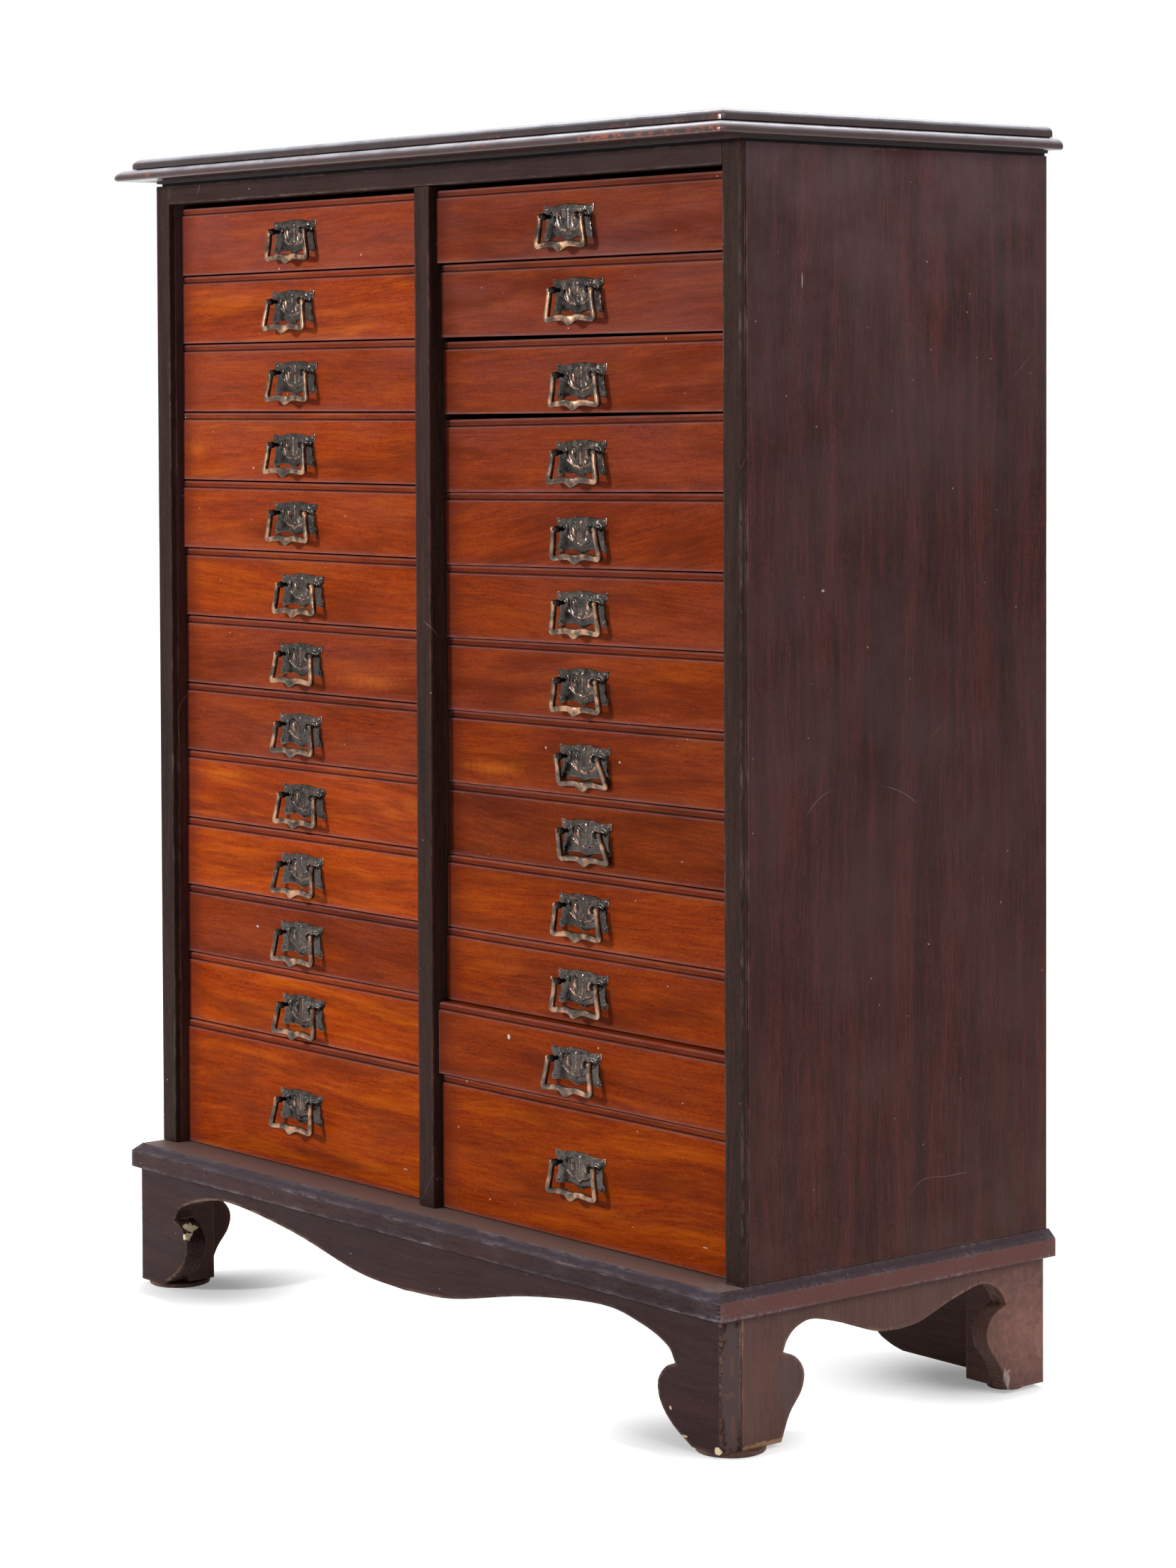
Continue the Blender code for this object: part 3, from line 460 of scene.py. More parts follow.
def grain(finish, seed, along, tones, slant=0.0, patchy=0.5, figured=0.5):
    """Colour a finish as streaked wood, and return its relief and its own coordinates.

    The tones are dark, middle, light and glow.
    """
    place = finish.moved(finish.coordinates(), (seed * 1.37, seed * 2.11, seed * 0.73))
    if slant:
        place = finish.add("VectorRotate", {"Vector": place, "Angle": radians(slant)},
                           rotation_type="Y_AXIS")
    sway = finish.noise(place, stretch(along, 3.0, 9.0), 1.0, output="Color")
    sway = finish.scaled(finish.moved(sway, (-0.5, -0.5, -0.5)), (0.03, 0.03, 0.03))
    waved = finish.moved(place, sway)
    bands = finish.noise(waved, stretch(along, 2.2, 44.0), 4.0, 0.6)
    streaks = finish.noise(waved, stretch(along, 24.0, 420.0), 4.0, 0.7)
    hairs = finish.noise(waved, stretch(along, 220.0, 1400.0), 3.0, 0.7)
    relief = finish.sum_of((bands, 0.26), (streaks, 0.34), (hairs, 0.40))
    dark, middle, light, glow = tones
    finish.colour = finish.ramp(relief, ((0.36, dark), (0.50, middle), (0.62, light)))
    patches = finish.noise(waved, stretch(along, 5.0, 62.0), 6.0, 0.70, 0.3)
    finish.over(glow, patches, 0.46, 0.72, 0.6 * patchy)
    figure = finish.noise(waved, stretch(along, 3.6, 70.0), 5.0, 0.7, 0.3)
    finish.over(dark, figure, 0.52, 0.72, 0.85 * figured)
    return relief, place


def accent(wood, place, size, tone, strength, raggedness, full=0.80):
    """Mix in a ragged patch of a tone about a place on the object, all in metres."""
    here = wood.coordinates()
    away = wood.moved(here, tuple(-value for value in place))
    away = wood.scaled(away, tuple(1 / value for value in size))
    reach = wood.add("VectorMath", {0: away}, "Value", operation="LENGTH")
    ragged = wood.math("SUBTRACT", wood.noise(here, 130.0, 3.0, 0.7), 0.5)
    edge = wood.math("ADD", reach, wood.times(ragged, 2 * raggedness))
    wood.over(tone, edge, full, 1.0, 0.0, strength)


def mahogany(name, seed, marks, height, hazy, patchy, figured, slant, light):
    """A drawer front: red-brown, streaked, with dirt and painted shade in the moulding, painted
    shade at its left end, and rubbed edges with a painted sheen.
    """
    wood = Finish(name, Specular_IOR_Level=0.02)
    tones = ((80, 25, 6), (136, 48, 6), (161, 68, 13), (198, 98, 8))
    relief, place = grain(wood, seed, "X", tones, slant, patchy, 0.65 * figured)
    haze = wood.noise(place, (4.0, 4.0, 12.0), 3.0, 0.6)
    wood.over((124, 82, 80), haze, 0.30, 0.75, 0.56 * hazy, 0.12 * hazy)
    here = wood.coordinates()
    # Painted shade: the leftmost 4 cm of each front darkens, as beside the stile or divider
    wood.over((88, 36, 28), wood.part(here, "X"), -0.2245, -0.185, 0.0, 0.62)
    dusk = wood.noise(place, (4.5, 4.5, 26.0), 4.0, 0.6)
    wood.over((92, 32, 10), dusk, 0.46, 0.70, 0.65)
    # How light each front is: its own tone, and painted shade where lower across the right bank
    wood.colour = wood.scaled(wood.colour, (light ** 2.2,) * 3)
    for across, up, wide, tall, tone, strength in marks:
        edge = MARK_EDGE if wide < CLOUD_WIDTH else CLOUD_EDGE
        accent(wood, (across, 0, up * height), (wide, 0.01, tall), tone, strength, *edge)
    # Pale grey-pink on the arrises: rubbed wear and a painted sheen
    speckle = wood.noise(here, (28.0, 200.0, 200.0), 3.0, 0.6)
    rubbed = wood.times(wood.attribute("wear"), wood.step(speckle, 0.30, 0.62, 0.45, 1.0))
    wood.mix(wood.times(rubbed, 0.50), (142, 108, 106))
    # Darker in the groove, along the band and under the front: dirt and painted shade
    wood.mix(wood.times(wood.attribute("dirt"), 0.85), (46, 20, 20))
    nicks = wood.noise(place, (120.0, 120.0, 150.0), 1.0)
    wood.over((206, 170, 150), nicks, 0.81, 0.83, 0.8)
    smooth = wood.noise(place, (10.0, 10.0, 40.0))
    return wood.finish(wood.step(smooth, 0.3, 0.7, 0.34, 0.50), relief, 0.00025)


def dark_wood(name, seed, along, tones, wear_and_sheen_tone, glow=0.4, haze=None, accents=(), gloss=0.09,
              painted_light_and_dust_tones=None):
    """Dark stained boards: soft grain, dust, specks, fine scratches, rubbed edges with a painted
    sheen, and dirt and painted shade where the mesh marks it.

    haze is a low and a high level and the tones of the haze between them; the tones by facing
    are those of what faces the right side (painted light), of a slope (a painted bluish sheen) and
    of what faces up (dust).
    """
    wood = Finish(name, Specular_IOR_Level=gloss)
    relief, _ = grain(wood, seed, along, tones, 0.0, glow, 0.6)
    here = wood.coordinates()
    if haze:
        low, high, *stops = haze
        level = wood.add("MapRange", {0: wood.part(here, "Z"), 1: low, 2: high})
        last = len(stops) - 1
        tone = wood.ramp(level, [(index / last, stop) for index, stop in enumerate(stops)])
        cloud = wood.noise(here, 5.5, 4.0, 0.65)
        wood.over(tone, cloud, 0.30, 0.72, 0.60, 0.08)
    if painted_light_and_dust_tones:
        painted_side_light_tone, painted_slope_sheen_tone, top_tone = painted_light_and_dust_tones
        # Painted light on what faces the right side, a painted sheen on slopes, and dust on what
        # faces up
        wood.over(painted_side_light_tone, wood.facing("X"), 0.5, 0.9, 0.55)
        wood.over(painted_slope_sheen_tone, wood.facing("Z"), 0.10, 0.45, 0.75)
        wood.over(top_tone, wood.facing("Z"), 0.85, 0.97, 0.80)
    speckle = wood.noise(here, stretch(along, 60.0, 260.0), 4.0, 0.7)
    spread = wood.noise(here, 14.0)
    # Paler on the arrises: rubbed wear with a painted sheen, in broken patches
    rubbed = wood.times(wood.attribute("wear"), wood.step(speckle, 0.38, 0.60))
    rubbed = wood.times(rubbed, wood.step(spread, 0.42, 0.70, 0.15, 0.75))
    wood.mix(rubbed, wear_and_sheen_tone)
    # Near-black where marked, as under the base board and where it runs in under the carcass: dirt
    # and painted shade
    wood.mix(wood.times(wood.attribute("dirt"), 0.9), (12, 8, 8))
    specks = wood.noise(here, 210.0, 1.0)
    wood.over((190, 180, 178), specks, 0.82, 0.84, 0.7)
    line = wood.math("ABSOLUTE", wood.math("SUBTRACT", wood.noise(here, 5.0, 1.0), 0.52))
    gate = wood.step(wood.noise(here, 9.0, 1.0), 0.60, 0.66)
    scratch = wood.times(wood.step(line, 0.0, 0.0012, 0.55, 0.0), gate)
    wood.mix(scratch, (150, 132, 128))
    for patch in accents:
        accent(wood, *patch)
    roughness = wood.step(wood.noise(here, 30.0, 4.0, 0.7), 0.3, 0.7, 0.46, 0.54)
    relief = wood.math("ADD", relief, wood.times(speckle, 0.2))
    return wood.finish(roughness, relief, 0.00035)


def ebonised(name):
    """The top: near-black gloss with a painted bluish sheen on what faces up and a painted
    reflection on what faces down, dirt and painted shade in its hollows, rubbed orange near one
    corner.
    """
    wood = Finish(name)
    tones = ((26, 17, 19), (46, 31, 34), (62, 42, 44), (72, 42, 40))
    relief, _ = grain(wood, 31.0, "X", tones, 0.0, 0.4, 0.5)
    here, upward = wood.coordinates(), wood.facing("Z")
    worn, dirty = wood.attribute("wear"), wood.attribute("dirt")
    # Painted highlight: a pale bluish sheen in clouds on what faces up, weak on the flat top
    sheen_cloud = wood.noise(here, 26.0, 4.0, 0.65)
    painted_sheen = wood.times(wood.step(upward, 0.30, 0.92), wood.step(sheen_cloud, 0.25, 0.7, 0.45, 0.85))
    painted_sheen = wood.times(painted_sheen, wood.step(upward, 0.97, 0.995, 1.0, 0.18))
    wood.mix(painted_sheen, (190, 188, 198))
    # Painted reflection: a lighter brown on what faces down
    wood.over((96, 78, 68), upward, -0.5, -0.98, 0.4)
    wood.mix(wood.times(worn, 0.45), (88, 48, 42))
    patch = wood.noise(here, (9.0, 6.0, 9.0), 3.0, 0.6)
    near = wood.step(wood.part(here, "X"), 0.05, 0.50, 0.02, 0.17)
    rubbed = wood.times(worn, wood.step(wood.math("ADD", patch, near), 0.60, 0.66))
    rubbed = wood.times(rubbed, wood.step(wood.facing("Y"), -0.4, -0.8))
    rubbed = wood.times(rubbed, wood.step(wood.noise(here, 150.0, 4.0, 0.7), 0.44, 0.54))
    wood.mix(rubbed, (170, 86, 54))
    # Near-black in the neck, bed strip and quirk: dirt and painted shade
    wood.mix(wood.times(dirty, 0.9), (10, 8, 12))
    specks = wood.noise(here, 190.0, 1.0)
    wood.over((210, 208, 206), specks, 0.79, 0.81, 0.9)
    wood.give("Specular IOR Level", wood.step(upward, 0.35, 0.85, 0.36, 0.08))
    roughness = wood.math("MAXIMUM", wood.step(sheen_cloud, 0.3, 0.7, 0.12, 0.26), dirty)
    return wood.finish(roughness, relief, 0.0002)


def box_wood():
    """Inside of the drawers: plain unpolished brown wood."""
    wood = Finish("drawer_box_wood", Specular_IOR_Level=0.2)
    tones = ((96, 60, 38), (138, 94, 62), (160, 116, 80), (168, 124, 84))
    relief, _ = grain(wood, 47.0, "Y", tones, 0.0, 0.4, 0.4)
    stain = wood.noise(wood.coordinates(), 11.0, 4.0, 0.6)
    wood.over((84, 54, 36), stain, 0.55, 0.80, 0.5)
    wood.mix(wood.times(wood.attribute("wear"), 0.4), (176, 140, 104))
    return wood.finish(0.62, relief, 0.0004)


def back_wood():
    """Upright boards of the back: rougher brown wood with darker and paler boards."""
    wood = Finish("back_board_wood", Specular_IOR_Level=0.2)
    tones = ((66, 40, 27), (100, 64, 43), (122, 82, 57), (130, 92, 64))
    relief, _ = grain(wood, 53.0, "Z", tones, 0.0, 0.5, 0.6)
    here = wood.coordinates()
    across = wood.math("ADD", wood.part(here, "X"), HALF_WIDTH - SIDE_THICKNESS)
    board = wood.math("FLOOR", wood.times(across, BACK_BOARDS_PER_METRE))
    shade = wood.add("TexWhiteNoise", {"W": board}, "Value", noise_dimensions="1D")
    wood.over((58, 36, 26), shade, 0.0, 1.0, 0.35)
    stain = wood.noise(here, 6.0, 5.0, 0.65)
    wood.over((50, 32, 24), stain, 0.52, 0.78, 0.6)
    return wood.finish(0.68, wood.math("ADD", relief, wood.times(stain, 0.5)), 0.0008)


def bronze(name, body, rubbed_tone, rubbed_from, roughness, coarse, painted_glint_share):
    """Dark bronzed brass, rubbed to copper where it stands proud, with painted glints; each piece
    its own pattern.
    """
    metal = Finish(name, Metallic=0.9)
    random = metal.add("ObjectInfo", {}, "Random")
    offset = metal.add("CombineXYZ", {0: random, 1: metal.times(random, 3.7), 2: random})
    place = metal.moved(metal.coordinates(), offset)
    cloud = metal.noise(place, 210.0 * coarse, 5.0, 0.7 * coarse ** 0.5)
    blotch = metal.noise(place, 60.0, 3.0, 0.6)
    dull, bright = ((*(times * value for value in linear(body)[:3]), 1.0) for times in (0.5, 1.8))
    metal.colour = metal.ramp(cloud, ((0.30, dull), (0.50, body), (0.70, bright)))
    metal.over((84, 77, 70), blotch, 0.50, 0.70, 0.55)
    metal.over((80, 74, 70), random, 0.0, 1.0, 0.35)
    blotchy = metal.sum_of((cloud, 0.6), (blotch, 0.4))
    # Copper where worn; on the plates' ear tips this is a painted highlight
    rubbed = metal.times(metal.attribute("wear"), metal.step(blotchy, rubbed_from, 0.64))
    metal.mix(metal.times(rubbed, 0.85), rubbed_tone)
    # Painted glints: tiny pale highlights scattered over the metal
    painted_glints = metal.noise(place, 620.0, 1.0)
    metal.over((222, 206, 192), painted_glints, 0.68, 0.76, painted_glint_share)
    # Near-black on the posts: the balls' own dark tone, and dirt and painted shade on the necks
    metal.mix(metal.attribute("dirt"), (20, 18, 17))
    gloss = metal.step(cloud, 0.3, 0.7, roughness - 0.08, roughness + 0.12)
    return metal.finish(gloss, cloud, 0.0004)


def pad_material():
    """Worn brown pads under the feet."""
    pad = Finish("foot_pad_brown", Specular_IOR_Level=0.3)
    cloud = pad.noise(pad.coordinates(), 120.0, 4.0, 0.7)
    pad.colour = pad.ramp(cloud, ((0.3, (48, 34, 28)), (0.5, (86, 62, 50)), (0.7, (120, 92, 76))))
    return pad.finish(0.7, cloud, 0.0006)


# Shapes

class Shape:
    """Points with their wear and painted sheen and their dirt and painted shade, each from 0 to 1,
    and the faces between them.

    The unit is the points' unit in metres.
    """

    def __init__(self, unit=1.0):
        self.points, self.wear, self.dirt, self.faces = [], [], [], []
        self.unit = unit

    def ring(self, points, wear=0.0, dirt=0.0):
        """Add a row of points; wear and sheen, and dirt and shade, are each one number or one for
        each point.
        """
        start = len(self.points)
        self.points += [tuple(value * self.unit for value in point) for point in points]
        for values, given in ((self.wear, wear), (self.dirt, dirt)):
            values += list(given) if isinstance(given, (list, tuple)) else [given] * len(points)
        return list(range(start, len(self.points)))

    def join(self, rings, caps=True):
        """Faces between closed rings of equal counts, and over both ends."""
        for lower, upper in zip(rings, rings[1:]):
            for index in range(len(lower)):
                after = (index + 1) % len(lower)
                self.faces.append((lower[index], lower[after], upper[after], upper[index]))
        if caps:
            self.faces += [tuple(rings[0][::-1]), tuple(rings[-1])]

    def mesh(self, name, angle=38):
        """The finished mesh, its faces pointing out."""
        mesh = bpy.data.meshes.new(name)
        mesh.from_pydata(self.points, [], self.faces)
        for label, values in (("wear", self.wear), ("dirt", self.dirt)):
            mesh.attributes.new(label, "FLOAT", "POINT").data.foreach_set("value", values)
        return faced_out(mesh, angle)


def faced_out(mesh, angle=38):
    """Turn a mesh's faces out and shade it smooth between its sharp edges."""
    builder = bmesh.new()
    builder.from_mesh(mesh)
    bmesh.ops.recalc_face_normals(builder, faces=builder.faces)
    builder.to_mesh(mesh)
    builder.free()
    mesh.shade_smooth()
    mesh.set_sharp_from_angle(angle=radians(angle))
    return mesh


def piece(name, body, mesh, material, nodes=(), place=None):
    """Put a mesh in its place as a piece of the object, riding on a body."""
    item = new_object(name, mesh)
    if not mesh.materials:
        mesh.materials.append(material)
    if place is not None:
        item.matrix_world = place
    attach(item, body)
    if nodes:
        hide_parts(*nodes)


def edged_boards(name, outlines, arris=BOARD_ARRIS, margin=BOARD_MARGIN):
    """Boards from their outlines, each (points, axis, start, end), with rounded arrises that carry
    wear and painted sheen.

    An outline's points are the other two coordinates in order.
    """
    target = bmesh.new()
    for points, axis, start, end in outlines:
        builder = bmesh.new()
        rings = []
        for along in (start, end):
            rings.append([])
            for pair in map(iter, points):
                place = [along if letter == axis else next(pair) for letter in "XYZ"]
                rings[-1].append(builder.verts.new(place))
        lower, upper = rings
        for index in range(len(points)):
            after = (index + 1) % len(points)
            builder.faces.new((lower[index], lower[after], upper[after], upper[index]))
        for ring in rings:
            builder.faces.new(ring)
        bmesh.ops.recalc_face_normals(builder, faces=builder.faces)
        sharp = [edge for edge in builder.edges if edge.calc_face_angle(0) > radians(40)]
        bmesh.ops.bevel(builder, geom=sharp, offset=arris, segments=3, profile=0.5,
                        affect="EDGES", clamp_overlap=True)
        wear = builder.verts.layers.float.new("wear")
        builder.verts.layers.float.new("dirt")
        for vertex in builder.verts:
            vertex[wear] = 1.0
        for face in list(builder.faces):
            width = min(edge.calc_length() for edge in face.edges)
            if len(face.verts) <= 4 and width <= 3 * arris:
                continue
            reach = margin if len(face.verts) > 4 else min(margin, 0.3 * width)
            bmesh.ops.inset_individual(builder, faces=[face], thickness=reach,
                                       use_even_offset=True)
            for vertex in face.verts:
                vertex[wear] = 0.0
        part = bpy.data.meshes.new("part")
        builder.to_mesh(part)
        builder.free()
        target.from_mesh(part)
        bpy.data.meshes.remove(part)
    mesh = bpy.data.meshes.new(name)
    target.to_mesh(mesh)
    target.free()
    return faced_out(mesh)


def bar(low, high):
    """A board between two corners, as an outline for edged_boards."""
    outline = ((low[0], low[1]), (high[0], low[1]), (high[0], high[1]), (low[0], high[1]))
    return outline, "Z", low[2], high[2]


def boards(name, material, outlines, nodes=(), arris=BOARD_ARRIS, margin=BOARD_MARGIN):
    """Put edged boards in place as one piece of the carcass."""
    piece(name, "carcass", edged_boards(name, outlines, arris, margin), material, nodes)


def moulded(name, overhangs, bottom, profile, angle=38):
    """A board whose front and side edges follow a profile, its back edge cut straight.

    The profile's rows are in millimetres: how far out of the overhang line and above the
    bottom, then wear with painted sheen, dirt with painted shade and, where it differs, how far
    out at the front.
    """
    front, side, back = overhangs
    shape, rings = Shape(), []
    rear = BACK_Y + back
    corner, near, far = 1.2 * MM, 8 * MM, 50 * MM
    for out, up, wear, dirt, *out_at_front in profile:
        x = HALF_WIDTH + side + out * MM
        y = FRONT_Y - front - (out_at_front[0] if out_at_front else out) * MM
        bend = [(x, rear, 0.4), (x, rear - far, 0), (x, y + far, 0), (x, y + near, 0.2),
                (x, y + corner, 1), (x - 0.3 * corner, y + 0.3 * corner, 1),
                (x - corner, y, 1), (x - near, y, 0.2), (x - far, y, 0)]
        ring = [(-across, forward, share) for across, forward, share in bend] + bend[::-1]
        worn = [min(1.0, max(wear, 0.9 * share)) for _, _, share in ring]
        rings.append(shape.ring([(across, forward, bottom + up * MM)
                                 for across, forward, _ in ring], worn, dirt))
    shape.join(rings)
    return shape.mesh(name, angle)


def arc(centre, radii, start_degrees, steps, wear=0.0, dirt=0.0):
    """Profile rows on a quarter of an ellipse."""
    angles = [radians(start_degrees + 90 * step / steps) for step in range(steps + 1)]
    return [(centre[0] + radii[0] * cos(angle), centre[1] + radii[1] * sin(angle), wear, dirt)
            for angle in angles]


def top_mesh():
    """Neck, bed strip, nosing, quirk and round-edged slab, each from its own height up."""
    strip, nosing, quirk, slab = 2.5, 5, 17, 18
    top = (CAD_BOX[1].z - TOP_BOTTOM) / MM
    neck_out, neck_front = -10.5, -32.5
    strip_out, strip_front = -6, -28
    profile = [(neck_out, 0, 0, 0.6, neck_front), (neck_out, strip, 0, 0.9, neck_front),
               (strip_out - 0.5, strip, 0, 0.7, strip_front - 0.5),
               (strip_out, strip + 0.5, 0.3, 0.6, strip_front),
               (strip_out, nosing - 0.2, 0, 0.6, strip_front),
               (strip_out + 0.4, nosing, 0, 0.6, strip_front + 0.4), (-2, nosing, 0, 0)]
    profile += arc((11.5, nosing + 3), (3, 3), -90, 5, 0.3)
    profile += arc((0, nosing + 3), (14.5, 9), 0, 14, 0.8)[1:5]
    profile += arc((0, nosing + 3), (14.5, 9), 0, 14)[5:]
    profile += [(-2.6, quirk, 0, 0.6), (-3.5, quirk, 0, 1), (-3.5, slab, 0, 1),
                (-0.5, slab, 0.2, 0.4), (0, slab + 0.5, 0.5, 0), (0, slab + 2, 0.2, 0)]
    profile += arc((-10, top - 7), (10, 7), 0, 10)
    profile += [(-30, top, 0, 0), (-120, top, 0, 0)]
    return moulded("top", TOP_OVERHANGS, TOP_BOTTOM, profile)


def base_mesh():
    """The base board with its chamfer."""
    top = (BASE_TOP - BASE_BOTTOM) / MM
    width, height = 9, 8.5
    chamfer = ((0, 0), (0.07, 0.09), (0.5, 0.53), (0.93, 0.94), (1, 1))
    profile = [(-30, 0, 0, 0.3), (-0.7, 0, 0.5, 0), (0, 0.7, 1, 0), (0, 4, 0.1, 0),
               (0, top - height - 3, 0.1, 0), (0, top - height - 0.8, 0.3, 0)]
    # Wear and painted sheen peak at both arrises of the chamfer: a pale line along each
    profile += [(-width * across, top - height * (1 - up), 0.9 * abs(2 * across - 1) ** 3, 0)
                for across, up in chamfer]
    profile += [(-width - 0.9, top, 1, 0), (-width - 2, top, 0.2, 0), (-width - 9, top, 0.1, 0),
                (-60, top, 0, 0.4)]
    return moulded("base", BASE_OVERHANGS, BASE_BOTTOM, profile, 24)


def apron_outline(half, bracket, cusp, bracket_shares, arch_shares):
    """A board's elevation about its middle: two bracket feet and a serpentine apron."""
    foot = [(half - bracket * across, PAD_HEIGHT + PLINTH_HEIGHT * up)
            for across, up in bracket_shares]
    arch = [((half - cusp) * along, PAD_HEIGHT + PLINTH_HEIGHT * up)
            for along, up in arch_shares]
    right = smooth_curve(foot, 6)[:-1] + smooth_curve(arch, 6)
    left = [(-x, z) for x, z in right[-2::-1]]
    return [(half, PLINTH_TOP), (half, PAD_HEIGHT), *right, *left, (-half, PAD_HEIGHT),
            (-half, PLINTH_TOP)]


def foot_pad(name, x, y, radius):
    """A round pad with a rounded, slightly uneven lower edge."""
    x, y, radius, top = (value / MM for value in (x, y, radius, PAD_HEIGHT))
    shape, rings = Shape(MM), []
    for height, inset, wear in ((0, 3.0, 0), (0.15, 2.0, 0.6), (0.7, 0.8, 1), (1.6, 0.2, 0.6),
                                (2.6, 0, 0.2), (top, 0.1, 0), (top + 0.4, 0.6, 0)):
        ring = []
        for turn in turns(48):
            reach = radius - inset - 0.15 * (1 + sin(5 * turn))
            ring.append((x + reach * cos(turn), y + reach * sin(turn), height))
        rings.append(shape.ring(ring, wear))
    shape.join(rings)
    return shape.mesh(name)


def front_profile(height, deep):
    """Rows up a drawer's front and over its upper edge: inward, up, wear with painted sheen, and
    dirt with painted shade.
    """
    face_top = height - BAND_HEIGHT - GROOVE_WIDTH
    groove_top = height - BAND_HEIGHT
    rows = [(deep, 0, 0, 0), (4, 0, 0, 0.5), (1, 0, 0.4, 0.2), (0.3, 0.3, 0.8, 0),
            (0, 1, 0.7, 0), (0, 3, 0.1, 0), (0, 9, 0, 0)]
    rows += [(0, height * share, 0, 0) for share in (0.3, 0.5, 0.7)]
    rows += [(0, face_top - 5, 0, 0), (0, face_top - FACE_ROUND - 0.5, 0.1, 0),
             (0, face_top - FACE_ROUND, 0.9, 0)]
    for angle in map(radians, (22, 45, 68, 90)):
        rows.append((GROOVE_DEPTH * 0.8 * (1 - cos(angle)),
                     face_top - FACE_ROUND * (1 - sin(angle)),
                     0.8 * cos(angle) ** 2, 0.8 * sin(angle)))
    rows += [(GROOVE_DEPTH, face_top + 0.1, 0, 1), (GROOVE_DEPTH, face_top + 0.9, 0, 1),
             (BAND_SETBACK + 0.7, groove_top, 0.1, 0.6),
             (BAND_SETBACK + 0.15, groove_top + 0.3, 0.5, 0.1),
             (BAND_SETBACK, groove_top + 0.8, 0, 0.42),
             (BAND_SETBACK, height - BAND_ROUND - 0.4, 0, 0.42),
             (BAND_SETBACK, height - BAND_ROUND, 0.4, 0.1)]
    for angle in map(radians, (18, 36, 54, 72, 90)):
        rows.append((BAND_SETBACK + BAND_ROUND * (1 - cos(angle)),
                     height - BAND_ROUND * (1 - sin(angle)), 0.9 * sin(2 * angle), 0))
    return rows + [(8, height, 0, 0.1), (deep, height, 0, 0)]


def front_mesh(name, height, rounded):
    """A drawer front moulded along its upper edge.

    rounded is the radius of its upper left corner in millimetres.
    """
    height, deep, half = height / MM, FRONT_THICKNESS / MM, FRONT_WIDTH / 2 / MM
    rows = front_profile(height, deep)
    edge, inset, cap_wear = 0.9, 12, 0.15
    stations = []
    for side, radius in ((-1, rounded), (1, 1.2)):
        ends = []
        for inward in (0, 0.12, 0.3, 0.6, 1.0, 2.2):
            reach = inward * radius
            fall = radius - sqrt(max(0, radius ** 2 - max(0, radius - reach) ** 2))
            back = edge * max(0, 1 - reach / edge) ** 2
            ends.append((side * (half - reach), fall, back,
                         max(0, 1 - inward) if inward else cap_wear))
        ends.append((side * (half - inset), 0, 0, 0))
        stations += ends if side < 0 else ends[::-1]
    middle = len(stations) // 2
    stations[middle:middle] = [(half * share, 0, 0, 0) for share in (-0.7, -0.35, 0, 0.35, 0.7)]
    shape, rings = Shape(MM), []
    for x, fall, back, worn in stations:
        ring = []
        for y, z, _, _ in rows:
            lower = fall * float(smooth_step(z, height - 14, height - 2))
            ring.append((x, y + back * (1 - y / deep), z - lower))
        rings.append(shape.ring(ring, [min(1.0, row[2] + 0.8 * worn) for row in rows],
                                [row[3] for row in rows]))
    shape.join(rings)
    return shape.mesh(name)


def drawer_box_mesh(name, height):
    """Sides, bottom and back of a drawer, behind its front."""
    low = RUNNER_TOP + SEAT_GAP
    board_low = low + BOX_RISE
    board_top = board_low + BOX_BOTTOM
    top = height - BOX_TOP_DROP
    inner = BOX_HALF - BOX_SIDE
    gap = 0.1 * MM
    front = FRONT_THICKNESS + gap
    walls = [bar((-BOX_HALF, front, low), (-inner, DRAWER_LENGTH, top)),
             bar((inner, front, low), (BOX_HALF, DRAWER_LENGTH, top)),
             bar((-inner + gap, front, board_low), (inner - gap, DRAWER_LENGTH - gap, board_top)),
             bar((-inner + gap, DRAWER_LENGTH - BOX_SIDE, board_top + gap),
                 (inner - gap, DRAWER_LENGTH - gap, top - BOX_BACK_DROP))]
    return edged_boards(name, walls, BOX_ARRIS, BOX_MARGIN)


